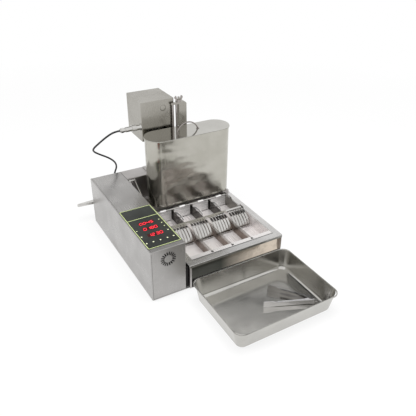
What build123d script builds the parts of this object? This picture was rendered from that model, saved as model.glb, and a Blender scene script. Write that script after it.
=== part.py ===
"""Four-lane mini donut maker with its tray and serving tongs, in millimetres.

+X runs to the right along the front, +Y to the back, +Z up. The origin is at the middle of the
whole set on the surface that it stands on.
"""

from build123d import *
import os
from math import asin, atan, atan2, cos, degrees, hypot, pi, radians, sin, sqrt, tan

os.makedirs("parts", exist_ok=True)

# ---------------------------------------------------------------- driving sizes
sheet = 1.5  # casing sheet
thin_sheet = 1.2  # tank, hopper and tray sheet
bend = 2.5  # outer bend radius of folded corners
foot_height = 4
face_gap = 0.3  # between faces of different bodies
running_gap = 0.05  # radial, shaft in bush

box_width = 126  # control box
box_height = 200
body_depth = 573
heat_gap = 10.5  # air gap between control box and fryer
fryer_width = 390
deck_height = 101
front_overhang = 7  # the fryer's front rail stands this far ahead of the control box
ledge_depth = 76  # rear housing
hopper_overhang = 6  # of the hopper past the fryer's right side
lever_reach = 58  # of the drain lever past the control box's left side

tray_length = 396
tray_width = 298
tray_height = 74
tray_gap = 37  # tray rim to front rail
valve_reach = 72  # of the drain valve past the back

lane_count = 4
lane_width = 84
side_rail = 27
front_rail = 26
tank_floor = 57
tank_setback = 42  # tank front wall to control box front

hopper_length = 354
hopper_width = 109
hopper_height = 282
hopper_gap = 29  # hopper to rear housing
hopper_lift = 10  # hopper floor above the deck
hopper_rim = 3

motor_width = 137
motor_depth = 135
motor_height = 154.5
motor_bottom = 350.5
motor_inset = 196.6  # motor box's left side to the control box's left side
motor_overhang = 47  # motor box past the control box's back

# ---------------------------------------------------------------- places that follow
overall_width = lever_reach + box_width + heat_gap + fryer_width + hopper_overhang + hopper_rim
box_left = lever_reach - overall_width / 2
box_right = box_left + box_width
box_middle = (box_left + box_right) / 2
fryer_left = box_right + heat_gap
fryer_right = fryer_left + fryer_width

tray_reach = front_overhang + tray_gap + tray_width
front_y = (tray_reach - body_depth - valve_reach) / 2
back_y = front_y + body_depth
fryer_front = front_y - front_overhang
flange_top = deck_height - sheet  # the deck ring lies on the tank flange
ledge_front = back_y - ledge_depth

tank_right = fryer_right - side_rail
tank_left = tank_right - lane_count * lane_width
tank_front = front_y + tank_setback
tank_back = ledge_front - 8
lane_middles = [tank_left + (lane + 0.5) * lane_width for lane in range(lane_count)]
divider_places = [tank_left + lane * lane_width for lane in range(1, lane_count)]

hopper_right = fryer_right + hopper_overhang
hopper_left = hopper_right - hopper_length
hopper_back = ledge_front - hopper_gap
hopper_front = hopper_back - hopper_width
hopper_middle = (hopper_left + hopper_right) / 2
hopper_axis = (hopper_front + hopper_back) / 2
hopper_bottom = deck_height + hopper_lift
hopper_top = hopper_bottom + hopper_height

motor_left = box_left + motor_inset
motor_right = motor_left + motor_width
motor_back = back_y + motor_overhang
motor_front = motor_back - motor_depth
motor_top = motor_bottom + motor_height


def write(part, name):
    part.label = name
    export_step(part, f"parts/{name}.step")


# ---------------------------------------------------------------- control panel layout
panel_width = 119
panel_length = 254
panel_sheet = 0.8
panel_front = front_y + 20
panel_top = box_height + panel_sheet
display_size = (56, 17)
display_rows = [front_y + 92, front_y + 132, front_y + 167]
display_inset = 61  # display centres from the control box's left side
key_radius = 4.5
key_travel = 0.6
key_gap = 0.3
key_places = [(12.5, 52), (36, 52), (61, 52), (86, 52), (109, 52), (12.5, 94), (109, 94)]
lamp_radius = 2
lamp_places = [(12.5, 134), (109, 123), (109, 145), (109, 168)]
window_size = (112, 136)
window_middle = (box_middle, front_y + 110)
board_depth = 14  # circuit board below the box's top
board_top = box_height - board_depth
board_sheet = 1.6

# ---------------------------------------------------------------- comb and pusher layout
comb_setback = 134  # comb shaft to hopper front
comb_y = hopper_front - comb_setback
comb_z = deck_height + 5
comb_shaft_radius = 4
comb_bar_width = 10
comb_bar_rise = 5.5  # top of bar and tines above the shaft's axis
comb_swing = hypot(comb_bar_width / 2, comb_bar_rise)
tine_count = 6
tine_pitch = 12
tine_width = 8
tine_sheet = 2
tine_length = 70
tine_drop = 45.5  # from the bar's top to the tips
tine_radius = (tine_length**2 + tine_drop**2) / (2 * tine_drop)  # level where it leaves the bar
tine_arc = asin(tine_length / tine_radius)
side_plate_sheet = 2.5
side_plate_gap = 2.5

rod_gap = 14  # rod to hopper front
rod_y = hopper_front - rod_gap
rod_z = deck_height + 6
rod_radius = 3
link_x = fryer_left + 13.5
link_sheet = 4
crank_inset = 13
link_top = (ledge_front - crank_inset, box_height - 3)  # pin at the crank's rear dead centre
link_width = 9
crank_radius = 13
link_run = hypot(link_top[0] - rod_y, link_top[1] - rod_z)
link_way = ((link_top[0] - rod_y) / link_run, (link_top[1] - rod_z) / link_run)
crank_y = link_top[0] - crank_radius * link_way[0]
crank_z = link_top[1] - crank_radius * link_way[1]
# pin and rod at the crank's front dead centre
front_pin = (link_top[0] - 2 * crank_radius * link_way[0], link_top[1] - 2 * crank_radius * link_way[1])
pusher_stroke = rod_y - front_pin[0] + sqrt(link_run**2 - (front_pin[1] - rod_z) ** 2)
crank_shaft_radius = 4
crank_sheet = 4

# ---------------------------------------------------------------- dosing layout
dosing_stroke = 10
nozzle_radius = 18
nozzle_wall = 2
nozzle_bottom = 90
mandrel_bottom = 80
mandrel_sheet = 3
sleeve_wall = 2.4
sleeve_height = 18
push_rod_radius = 4
push_rod_places = [motor_right - 8.5, motor_right + 7]
push_rod_y = hopper_back + 8.5
yoke_bottom = 84
yoke_sheet = 3
head_left = motor_right + 16.1
head_width = 34
head_front = hopper_back + hopper_rim + 2
head_depth = 32
head_bottom = hopper_top - 3
head_height = 97
head_top = head_bottom + head_height
crosshead_sheet = 8
crosshead_top = head_top + 2
guide_sheet = 14

# ---------------------------------------------------------------- drain layout
drain_pipe_radius = 10.6
drain_z = 42
drain_x = box_left + 48
drain_tank_x = tank_left + 30
drain_tank_y = tank_back - 26
drain_turn_y = back_y - 36
valve_y = back_y + 32
lever_z = drain_z + 28
lever_height = 9
stem_radius = 4

# ---------------------------------------------------------------- cable and inlet
cable_radius = 3.5
connector_y = motor_front + 12
connector_z = motor_bottom + 57.5
connector_length = 84.6
gland_radius = 8
gland_x = box_right - 12
gland_z = 130
gland_reach = 20
inlet_x = box_left + 46
inlet_z = 120
inlet_size = (28, 20)

connector_thread = 9
plug_radius = 12
plug_x = motor_right - 46
plug_z = motor_top - 33

# ---------------------------------------------------------------- vent and fan
vent_x = box_left + 63
vent_drop = 44  # vent's middle below the box's top
vent_z = box_height - vent_drop
vent_inner = 14
vent_outer = 28
vent_slots = 18
vent_slot_width = 4.4
fan_size = 60
fan_depth = 20
fan_gap = 2  # behind the front wall

# ================================================================ control box
with BuildPart() as control_box_shell:
    with BuildSketch(Plane.XY.offset(foot_height)):
        with Locations((box_middle, (front_y + back_y) / 2)):
            Rectangle(box_width, body_depth)
    extrude(amount=box_height - foot_height)
    fillet(
        control_box_shell.edges().filter_by(Axis.Z) + control_box_shell.faces().sort_by(Axis.Z)[-1].edges(),
        bend,
    )
    offset(amount=-sheet, openings=control_box_shell.faces().sort_by(Axis.Z)[0])
    # radial vent slots round a plain disc in the front wall
    with BuildSketch(Plane.XZ.offset(-front_y)):
        with Locations((vent_x, vent_z)):
            with PolarLocations((vent_inner + vent_outer) / 2, vent_slots):
                SlotOverall(vent_outer - vent_inner, vent_slot_width)
    extrude(amount=2 * sheet, both=True, mode=Mode.SUBTRACT)
    # window below the key and display field
    with BuildSketch(Plane.XY.offset(box_height)):
        with Locations(window_middle):
            Rectangle(*window_size)
    extrude(amount=-2 * sheet, mode=Mode.SUBTRACT)
    # holes in the right wall: comb shaft, crank shaft and drain pipe
    with BuildSketch(Plane.YZ.offset(box_right)):
        with Locations((comb_y, comb_z)):
            Circle(comb_shaft_radius + 1)
        with Locations((crank_y, crank_z)):
            Circle(crank_shaft_radius + 1)
        with Locations((drain_turn_y, drain_z)):
            Circle(drain_pipe_radius + 1)
    extrude(amount=-2 * sheet, mode=Mode.SUBTRACT)
    # holes in the back wall: drain pipe, cable gland and mains inlet
    with BuildSketch(Plane.XZ.offset(-back_y)):
        with Locations((drain_x, drain_z)):
            Circle(drain_pipe_radius + 0.5)
        with Locations((gland_x, gland_z)):
            Circle(gland_radius + running_gap)
        with Locations((inlet_x, inlet_z)):
            Rectangle(*inlet_size)
    extrude(amount=2 * sheet, mode=Mode.SUBTRACT)
write(control_box_shell.part, "control_box_shell")

# floor of the control box, with a folded edge all round
base_slots = 5
with BuildPart() as base_plate:
    with BuildSketch(Plane.XY.offset(foot_height)):
        with Locations((box_middle, (front_y + back_y) / 2)):
            RectangleRounded(box_width - 2 * sheet - 0.4, body_depth - 2 * sheet - 0.4, 1)
    extrude(amount=12)
    offset(amount=-sheet, openings=base_plate.faces().sort_by(Axis.Z)[-1])
    with BuildSketch(Plane.XY.offset(foot_height)):
        with Locations((box_middle, (front_y + back_y) / 2)):
            with GridLocations(0, body_depth / (base_slots + 1), 1, base_slots):
                SlotOverall(50, 5)
    extrude(amount=sheet, mode=Mode.SUBTRACT)
write(base_plate.part, "base_plate")

foot_radius = 10
foot_inset = 22
foot_places = [(x, y) for x in (box_left + foot_inset, box_right - foot_inset)
               for y in (front_y + foot_inset, back_y - foot_inset)]
foot_places += [(fryer_right - 17, front_y + 65), (fryer_right - 17, ledge_front - foot_inset)]
with BuildPart() as rubber_feet:
    with BuildSketch(Plane.XY):
        with Locations(foot_places):
            Circle(foot_radius)
    extrude(amount=foot_height)
    fillet(rubber_feet.faces().sort_by(Axis.Z)[: len(foot_places)].edges(), 1)
write(rubber_feet.part, "rubber_feet")

# ================================================================ control panel
with BuildPart() as control_panel:
    with BuildSketch(Plane.XY.offset(box_height)):
        with Locations((box_middle, panel_front + panel_length / 2)):
            RectangleRounded(panel_width, panel_length, 2)
        with Locations([(box_left + display_inset, y) for y in display_rows]):
            Rectangle(*display_size, mode=Mode.SUBTRACT)
        with Locations([(box_left + x, front_y + y) for x, y in key_places]):
            Circle(key_radius + key_gap, mode=Mode.SUBTRACT)
        with Locations([(box_left + x, front_y + y) for x, y in lamp_places]):
            Circle(lamp_radius + running_gap, mode=Mode.SUBTRACT)
    extrude(amount=panel_sheet)
write(control_panel.part, "control_panel")

with BuildPart() as led_displays:
    with BuildSketch(Plane.XY.offset(board_top)):
        with Locations([(box_left + display_inset, y) for y in display_rows]):
            Rectangle(*display_size)
    extrude(amount=panel_top - board_top)
write(led_displays.part, "led_displays")

with BuildPart() as indicator_lamps:
    with BuildSketch(Plane.XY.offset(board_top)):
        with Locations([(box_left + x, front_y + y) for x, y in lamp_places]):
            Circle(lamp_radius)
    extrude(amount=panel_top - board_top)
write(indicator_lamps.part, "indicator_lamps")

key_stem_radius = 2.5
key_cap = 3
switch_height = 8
for number, (x, y) in enumerate(key_places, start=1):
    with BuildPart() as key:
        with BuildSketch(Plane.XY.offset(panel_top + 0.4)):
            with Locations((box_left + x, front_y + y)):
                Circle(key_radius)
        extrude(amount=-key_cap)
        with BuildSketch(Plane.XY.offset(panel_top + 0.4 - key_cap)):
            with Locations((box_left + x, front_y + y)):
                Circle(key_stem_radius)
        stem_end = board_top + switch_height + key_travel + 0.2
        extrude(amount=-(panel_top + 0.4 - key_cap - stem_end))
    write(key.part, f"key_{number}")

with BuildPart() as control_board:
    with BuildSketch(Plane.XY.offset(board_top)):
        with Locations(window_middle):
            Rectangle(window_size[0] - 2, window_size[1] + 12)
    extrude(amount=-board_sheet)
    # four standoffs up to the underside of the box's top
    with BuildSketch(Plane.XY.offset(board_top)):
        with Locations(window_middle):
            with GridLocations(window_size[0] - 10, window_size[1] + 6, 2, 2):
                Circle(2.8)
    extrude(amount=board_depth - sheet)
    # tactile switches under the keys
    with BuildSketch(Plane.XY.offset(board_top)):
        with Locations([(box_left + x, front_y + y) for x, y in key_places]):
            Rectangle(6, 6)
    extrude(amount=switch_height)
write(control_board.part, "control_board")

# ================================================================ cooling fan
fan_front = front_y + sheet + fan_gap
with BuildPart() as fan_frame:
    with BuildSketch(Plane.XZ.offset(-fan_front)):
        with Locations((vent_x, vent_z)):
            RectangleRounded(fan_size, fan_size, 4)
            Circle(fan_size / 2 - 2, mode=Mode.SUBTRACT)
    extrude(amount=-fan_depth)
    # three struts and the bearing boss at the back
    with BuildSketch(Plane.XZ.offset(-(fan_front + fan_depth))):
        with Locations((vent_x, vent_z)):
            Circle(11)
            with PolarLocations(20, 3, start_angle=30):
                Rectangle(22, 3)
    extrude(amount=2.5)
    with BuildSketch(Plane.XZ.offset(-(fan_front + fan_depth - 2.5))):
        with Locations((vent_x, vent_z)):
            Circle(1.5)
    extrude(amount=8)
    # lugs that tie the frame to the front wall
    with BuildSketch(Plane.XZ.offset(-fan_front)):
        with Locations((vent_x, vent_z)):
            with GridLocations(fan_size - 8, fan_size - 8, 2, 2):
                Circle(3)
    extrude(amount=fan_gap)
write(fan_frame.part, "fan_frame")

blade_count = 7
with BuildPart() as fan_rotor:
    with BuildSketch(Plane.XZ.offset(-(fan_front + 2))):
        with Locations((vent_x, vent_z)):
            Circle(11)
    extrude(amount=-(fan_depth - 5.5))
    with BuildSketch(Plane.XZ.offset(-(fan_front + fan_depth - 3.5))):
        with Locations((vent_x, vent_z)):
            Circle(1.5 + running_gap)
    extrude(amount=7.5, mode=Mode.SUBTRACT)
    for blade in range(blade_count):
        turn = 360 * blade / blade_count
        root = Plane(
            origin=(vent_x + 10.6 * cos(radians(turn)), fan_front + 9, vent_z + 10.6 * sin(radians(turn))),
            z_dir=(cos(radians(turn)), 0, sin(radians(turn))),
            x_dir=(-sin(radians(turn)), 0, cos(radians(turn))),
        )
        with BuildSketch(root):
            Rectangle(1.2, 13, rotation=40)
        extrude(amount=16)
write(fan_rotor.part, "fan_rotor")

# ================================================================ rear housing
rear_left = box_right
with BuildPart() as rear_housing:
    with BuildSketch(Plane.XY.offset(foot_height)):
        with Locations(((rear_left + fryer_right) / 2, (ledge_front + back_y) / 2)):
            Rectangle(fryer_right - rear_left, ledge_depth)
    extrude(amount=box_height - foot_height)
    fillet(rear_housing.edges().group_by(Axis.X)[-1].filter_by(Axis.Z), bend)
    fillet(rear_housing.faces().sort_by(Axis.Z)[-1].edges().group_by(Axis.X)[-1], bend)
    offset(
        amount=-sheet,
        openings=[rear_housing.faces().sort_by(Axis.Z)[0], rear_housing.faces().sort_by(Axis.X)[0]],
    )
    with BuildSketch(Plane.XZ.offset(-ledge_front)):
        with Locations((drain_tank_x, drain_z)):
            Circle(drain_pipe_radius + 1)
    extrude(amount=-2 * sheet, mode=Mode.SUBTRACT)
    # louvres for the motors' heat in the back wall
    with BuildSketch(Plane.XZ.offset(-back_y)):
        with Locations(((rear_left + fryer_right) / 2, 60)):
            with GridLocations(9, 1, 20, 1):
                SlotOverall(34, 4, rotation=90)
    extrude(amount=2 * sheet, mode=Mode.SUBTRACT)
write(rear_housing.part, "rear_housing")

# ================================================================ fryer body
panel_height_z = flange_top - thin_sheet
panel_clear = 1.9  # side panels stand inside the deck frame's skirt
corner_radius = 45
flange_width = 30
ledge_width = 20
for name, outer, way in (
    ("side_panel_left", fryer_left + panel_clear, 1),
    ("side_panel_right", fryer_right - panel_clear, -1),
):
    with BuildPart() as side_panel:
        with BuildSketch(Plane.XZ.offset(-(fryer_front + panel_clear))):
            with BuildLine():
                inner = outer + way * sheet
                Polyline(
                    (outer, foot_height),
                    (outer + way * flange_width, foot_height),
                    (outer + way * flange_width, foot_height + sheet),
                    (inner, foot_height + sheet),
                    (inner, panel_height_z - sheet),
                    (outer + way * ledge_width, panel_height_z - sheet),
                    (outer + way * ledge_width, panel_height_z),
                    (outer, panel_height_z),
                    (outer, foot_height),
                )
            make_face()
        extrude(amount=-(ledge_front - fryer_front - panel_clear))
        if way < 0:
            # rounded lower front corner
            with BuildSketch(Plane.YZ.offset(outer)):
                with BuildLine():
                    low = (fryer_front + panel_clear, foot_height)
                    Line(low, (low[0] + corner_radius, low[1]))
                    RadiusArc((low[0] + corner_radius, low[1]), (low[0], low[1] + corner_radius), corner_radius)
                    Line((low[0], low[1] + corner_radius), low)
                make_face()
            extrude(amount=-flange_width, mode=Mode.SUBTRACT)
        else:
            # front post: return flange of the left panel
            with BuildSketch(Plane.XY.offset(foot_height)):
                with Locations((outer, fryer_front + panel_clear)):
                    Rectangle(7, sheet, align=(Align.MIN, Align.MIN))
            extrude(amount=panel_height_z - foot_height)
    write(side_panel.part, name)

# bottom pan of the fryer, its front wall bent up behind the front rail
pan_clear = 0.4
pan_left = fryer_left + panel_clear + sheet + pan_clear
pan_right = fryer_right - panel_clear - sheet - pan_clear
pan_low = foot_height + sheet
wall_y = fryer_front + 14
wall_slope = 25  # the wall's foot slopes back behind the side panel's round corner
wall_top = deck_height - 13
with BuildPart() as floor_pan:
    with BuildSketch(Plane.YZ.offset(pan_left)):
        with BuildLine():
            Polyline(
                (ledge_front, pan_low),
                (wall_y + wall_slope, pan_low),
                (wall_y, pan_low + wall_slope),
                (wall_y, wall_top),
                (wall_y + thin_sheet, wall_top),
                (wall_y + thin_sheet, pan_low + wall_slope + thin_sheet / 2),
                (wall_y + wall_slope + thin_sheet / 2, pan_low + thin_sheet),
                (ledge_front, pan_low + thin_sheet),
                (ledge_front, pan_low),
            )
        make_face()
    extrude(amount=pan_right - pan_left)
write(floor_pan.part, "floor_pan")

with BuildPart() as gap_insulation:
    with BuildSketch(Plane.XY.offset(foot_height + 4)):
        with Locations(((box_right + fryer_left) / 2, (front_y + 4 + ledge_front) / 2)):
            Rectangle(heat_gap, ledge_front - front_y - 4)
    extrude(amount=deck_height - foot_height - 14)
write(gap_insulation.part, "gap_insulation")

# top ring of the fryer with a turned-down skirt
deck_open_front = fryer_front + front_rail
deck_open_back = ledge_front
skirt = 10
with BuildPart() as deck_frame:
    with BuildSketch(Plane.XY.offset(deck_height)):
        with Locations(((fryer_left + fryer_right) / 2, (fryer_front + ledge_front) / 2)):
            Rectangle(fryer_width, ledge_front - fryer_front)
    extrude(amount=-skirt)
    fillet(deck_frame.edges().filter_by(Axis.Z).group_by(Axis.Y)[0], 5)
    fillet(deck_frame.faces().sort_by(Axis.Z)[-1].edges().group_by(Axis.Y)[0], 1.4)
    with BuildSketch(Plane.XY.offset(deck_height - skirt)):
        with Locations(((fryer_left + fryer_right) / 2, (fryer_front + sheet + ledge_front) / 2)):
            Rectangle(fryer_width - 2 * sheet, ledge_front - fryer_front - sheet)
    extrude(amount=skirt - sheet, mode=Mode.SUBTRACT)
    with BuildSketch(Plane.XY.offset(deck_height)):
        with Locations(((tank_left + tank_right) / 2, (deck_open_front + deck_open_back) / 2)):
            Rectangle(tank_right - tank_left + 4, deck_open_back - deck_open_front)
    extrude(amount=-skirt, mode=Mode.SUBTRACT)
write(deck_frame.part, "deck_frame")

# ================================================================ oil tank
flange_side = 14
groove = 5  # open joint between front rail and tank flange
tab_length = 8
tab_slot = 9
tab_y = tank_front - 10
tab_places = [(x, tab_y) for x in divider_places]
with BuildPart() as oil_tank:
    with BuildSketch(Plane.XY.offset(tank_floor - thin_sheet)):
        with Locations(((tank_left + tank_right) / 2, (tank_front + tank_back) / 2)):
            RectangleRounded(
                tank_right - tank_left + 2 * thin_sheet, tank_back - tank_front + 2 * thin_sheet, 6
            )
    extrude(amount=flange_top - tank_floor + thin_sheet)
    with BuildSketch(Plane.XY.offset(flange_top)):
        flange_front = deck_open_front + groove
        flange_back = ledge_front
        with Locations(((tank_left + tank_right) / 2, (flange_front + flange_back) / 2)):
            Rectangle(tank_right - tank_left + 2 * flange_side, flange_back - flange_front)
    extrude(amount=-thin_sheet)
    with BuildSketch(Plane.XY.offset(tank_floor)):
        with Locations(((tank_left + tank_right) / 2, (tank_front + tank_back) / 2)):
            RectangleRounded(tank_right - tank_left, tank_back - tank_front, 5)
    extrude(amount=flange_top - tank_floor, mode=Mode.SUBTRACT)
    # slots that take the dividers' front tabs
    with BuildSketch(Plane.XY.offset(flange_top)):
        with Locations(tab_places):
            Rectangle(tab_slot, tab_slot)
    extrude(amount=-thin_sheet, mode=Mode.SUBTRACT)
    # drain boss
    with BuildSketch(Plane.XY.offset(tank_floor - thin_sheet)):
        with Locations((drain_tank_x, drain_tank_y)):
            Circle(9)
    extrude(amount=-3)
    with BuildSketch(Plane.XY.offset(tank_floor)):
        with Locations((drain_tank_x, drain_tank_y)):
            Circle(7)
    extrude(amount=-thin_sheet - 3, mode=Mode.SUBTRACT)
write(oil_tank.part, "oil_tank")

# tubular heater under the tank floor, with its two terminals at the back
heater_radius = 4
heater_runs = 6
heater_z = tank_floor - thin_sheet - heater_radius - face_gap
heater_front = tank_front + 20
heater_back = tank_back - 60
heater_pitch = 44
with BuildPart() as heating_element:
    with BuildLine() as heater_path:
        first = (tank_left + tank_right) / 2 - heater_pitch * (heater_runs - 1) / 2 + 20
        corners = [(first, tank_back - 45, heater_z)]
        for run in range(heater_runs):
            x = first + run * heater_pitch
            near, far = (heater_front, heater_back) if run % 2 else (heater_back, heater_front)
            if run > 0:
                corners.append((x, near, heater_z))
            corners.append((x, far, heater_z))
        corners[-1] = (corners[-1][0], tank_back - 45, heater_z)
        FilletPolyline(*corners, radius=heater_pitch / 2 - 1)
    with BuildSketch(heater_path.line ^ 0):
        Circle(heater_radius)
    sweep()
write(heating_element.part, "heating_element")

# ================================================================ lane dividers
divider_sheet = 1.2
divider_back = hopper_front + 25
divider_cut = 14  # sloping lower back corner
divider_lip = 1.5  # the front end stands this far above the tank flange
with BuildPart() as lane_dividers:
    for x in divider_places:
        with BuildSketch(Plane.YZ.offset(x - divider_sheet / 2)):
            with BuildLine():
                Polyline(
                    (tank_front + face_gap, tank_floor),
                    (divider_back - divider_cut, tank_floor),
                    (divider_back, tank_floor + divider_cut),
                    (divider_back, flange_top),
                    (tank_front - 4, flange_top + divider_lip),
                    (tab_y - tab_length / 2, flange_top + divider_lip),
                    (tab_y - tab_length / 2, flange_top - 4),
                    (tab_y + tab_length / 2, flange_top - 4),
                    (tab_y + tab_length / 2, flange_top + face_gap),
                    (tank_front + face_gap, flange_top + face_gap),
                    (tank_front + face_gap, tank_floor),
                )
            make_face()
            # notch that the comb's bar turns in
            with Locations((comb_y, comb_z)):
                Circle(comb_swing + 1, mode=Mode.SUBTRACT)
        extrude(amount=divider_sheet)
write(lane_dividers.part, "lane_dividers")

# side plates that carry the comb shaft and guide the pusher rod
side_plate_top = deck_height + 11
side_plate_xs = [
    tank_left + side_plate_gap,
    tank_right - side_plate_gap - side_plate_sheet,
]
with BuildPart() as bearing_plates:
    for x in side_plate_xs:
        with BuildSketch(Plane.YZ.offset(x)):
            with BuildLine():
                Polyline(
                    (comb_y - 12, tank_floor),
                    (hopper_front - 3, tank_floor),
                    (hopper_front - 3, side_plate_top),
                    (rod_y - pusher_stroke - 12, side_plate_top),
                    (rod_y - pusher_stroke - 22, flange_top),
                    (comb_y + 18, flange_top),
                    (comb_y + 12, side_plate_top + 2),
                    (comb_y - 12, side_plate_top + 2),
                    (comb_y - 12, tank_floor),
                )
            make_face()
            with Locations((comb_y, comb_z)):
                Circle(comb_shaft_radius + running_gap, mode=Mode.SUBTRACT)
            with Locations((rod_y - pusher_stroke / 2, rod_z)):
                SlotOverall(
                    pusher_stroke + 2 * rod_radius + 1, 2 * (rod_radius + running_gap), mode=Mode.SUBTRACT
                )
        extrude(amount=side_plate_sheet)
write(bearing_plates.part, "bearing_plates")

# ================================================================ flipping comb
comb_left = box_right - 18
comb_right = tank_right - 1.5
with BuildPart() as comb_shaft:
    with BuildSketch(Plane.YZ.offset(comb_left)):
        with Locations((comb_y, comb_z)):
            Circle(comb_shaft_radius)
    extrude(amount=comb_right - comb_left)
write(comb_shaft.part, "comb_shaft")

comb_top = comb_z + comb_bar_rise
lip_arc = 5 / tine_radius


def tine_point(turn, depth):
    """Point of the tines' arc, turn round from the bar and depth below the upper face."""
    radius = tine_radius - depth
    return (comb_y - radius * sin(turn), comb_top - tine_radius + radius * cos(turn))


comb_reach = (tine_count - 1) * tine_pitch / 2 + tine_width / 2  # half of a lane's comb
bar_left = side_plate_xs[0] + side_plate_sheet + 0.5
bar_right = side_plate_xs[1] - 0.5
# (start of the arc, left end, width) of each tine, and of the lip that joins a lane's tips
tine_strips = [
    (0, middle + (tine - (tine_count - 1) / 2) * tine_pitch - tine_width / 2, tine_width)
    for middle in lane_middles
    for tine in range(tine_count)
]
tine_strips += [(tine_arc - lip_arc, middle - comb_reach, 2 * comb_reach) for middle in lane_middles]
with BuildPart() as comb_tines:
    # bar along the top of the shaft
    with BuildSketch(Plane.YZ.offset(bar_left)):
        with Locations((comb_y, comb_z + comb_bar_rise / 2)):
            Rectangle(comb_bar_width, comb_bar_rise)
    extrude(amount=bar_right - bar_left)
    for start, left, width in tine_strips:
        middle = (start + tine_arc) / 2
        with BuildSketch(Plane.YZ.offset(left)):
            with BuildLine():
                ThreePointArc(tine_point(start, 0), tine_point(middle, 0), tine_point(tine_arc, 0))
                Line(tine_point(tine_arc, 0), tine_point(tine_arc, tine_sheet))
                ThreePointArc(
                    tine_point(tine_arc, tine_sheet),
                    tine_point(middle, tine_sheet),
                    tine_point(start, tine_sheet),
                )
                Line(tine_point(start, tine_sheet), tine_point(start, 0))
            make_face()
        extrude(amount=width)
    with BuildSketch(Plane.YZ.offset(bar_left)):
        with Locations((comb_y, comb_z)):
            Circle(comb_shaft_radius + running_gap)
    extrude(amount=bar_right - bar_left, mode=Mode.SUBTRACT)
write(comb_tines.part, "comb_tines")

# ================================================================ pusher
pusher_left = link_x - link_sheet / 2 - 3
pusher_right = tank_right - side_plate_gap - 0.5
with BuildPart() as pusher_rod:
    with BuildSketch(Plane.YZ.offset(pusher_left)):
        with Locations((rod_y, rod_z)):
            Circle(rod_radius)
    extrude(amount=pusher_right - pusher_left)
write(pusher_rod.part, "pusher_rod")

blade_sheet = 1.5
blade_half = lane_width / 2 - side_plate_gap - side_plate_sheet - 1
blade_bottom = tank_floor + 3
blade_top = deck_height + 2
eye_half = 12
strap_front = comb_y + comb_swing + pusher_stroke + 1
strap_middle = (rod_y + strap_front) / 2 + 6
strap_width = 9
with BuildPart() as pusher_blades:
    for middle in lane_middles:
        # cross plate that pushes the row, with an eye round the rod
        with BuildSketch(Plane.XZ.offset(-(rod_y - blade_sheet / 2))):
            with Locations((middle, blade_bottom)):
                Rectangle(2 * blade_half, blade_top - blade_bottom, align=(Align.CENTER, Align.MIN))
                Rectangle(2 * eye_half, rod_z - blade_bottom, align=(Align.CENTER, Align.MIN))
        extrude(amount=-blade_sheet)
        with BuildSketch(Plane.YZ.offset(middle - eye_half)):
            with Locations((rod_y, rod_z)):
                Circle(rod_radius + 2)
        extrude(amount=2 * eye_half)
        # curved strap along the left divider
        with BuildSketch(Plane.YZ.offset(middle - blade_half)):
            with BuildLine():
                ThreePointArc(
                    (rod_y, deck_height - 13), (strap_middle, deck_height + 6), (strap_front, deck_height + 3)
                )
                Line((strap_front, deck_height + 3), (strap_front, deck_height + 3 - strap_width))
                ThreePointArc(
                    (strap_front, deck_height + 3 - strap_width),
                    (strap_middle, deck_height + 6 - strap_width),
                    (rod_y, deck_height - 13 - strap_width),
                )
                Line((rod_y, deck_height - 13 - strap_width), (rod_y, deck_height - 13))
            make_face()
        extrude(amount=blade_sheet)
    with BuildSketch(Plane.YZ.offset(pusher_left)):
        with Locations((rod_y, rod_z)):
            Circle(rod_radius + running_gap)
    extrude(amount=pusher_right - pusher_left, mode=Mode.SUBTRACT)
write(pusher_blades.part, "pusher_blades")

with BuildPart() as pusher_link:
    with BuildSketch(Plane.YZ.offset(link_x - link_sheet / 2)):
        with Locations((rod_y, rod_z)):
            Circle(rod_radius + 2.5)
        with Locations(link_top):
            Circle(link_width / 2 + 1)
        with Locations(((rod_y + link_top[0]) / 2, (rod_z + link_top[1]) / 2)):
            Rectangle(link_run, link_width, rotation=degrees(atan2(link_way[1], link_way[0])))
        with Locations((rod_y, rod_z)):
            Circle(rod_radius + running_gap, mode=Mode.SUBTRACT)
    extrude(amount=link_sheet)
write(pusher_link.part, "pusher_link")

crank_face = box_right + face_gap
with BuildPart() as pusher_crank:
    with BuildSketch(Plane.YZ.offset(crank_face)):
        with Locations((crank_y, crank_z)):
            Circle(9)
        with Locations(link_top):
            Circle(6)
        with Locations(((crank_y + link_top[0]) / 2, (crank_z + link_top[1]) / 2)):
            Rectangle(crank_radius, 12, rotation=degrees(atan2(link_way[1], link_way[0])))
    extrude(amount=crank_sheet)
    with BuildSketch(Plane.YZ.offset(crank_face + crank_sheet)):
        with Locations(link_top):
            Circle(4)
    extrude(amount=link_x - link_sheet / 2 - face_gap - crank_face - crank_sheet)
    with BuildSketch(Plane.YZ.offset(crank_face)):
        with Locations((crank_y, crank_z)):
            Circle(crank_shaft_radius)
    extrude(amount=-16)
write(pusher_crank.part, "pusher_crank")

# gear motors of comb and pusher inside the control box
gearbox_size = (44, 38)
gearbox_depth = 24
drive_radius = 17
drive_length = 46
crank_offset = 12  # crank shaft above the middle of its gearbox
with BuildPart() as drive_motors:
    for y, z, offset_z in ((comb_y, comb_z, 0), (crank_y, crank_z, crank_offset)):
        with BuildSketch(Plane.YZ.offset(box_right - sheet)):
            with Locations((y, z - offset_z)):
                RectangleRounded(*gearbox_size, 3)
            with Locations((y, z)):
                Circle(crank_shaft_radius + running_gap, mode=Mode.SUBTRACT)
        extrude(amount=-gearbox_depth)
        with BuildSketch(Plane.YZ.offset(box_right - sheet - gearbox_depth)):
            with Locations((y, z - offset_z)):
                Circle(drive_radius)
        extrude(amount=-drive_length)
write(drive_motors.part, "drive_motors")

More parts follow.
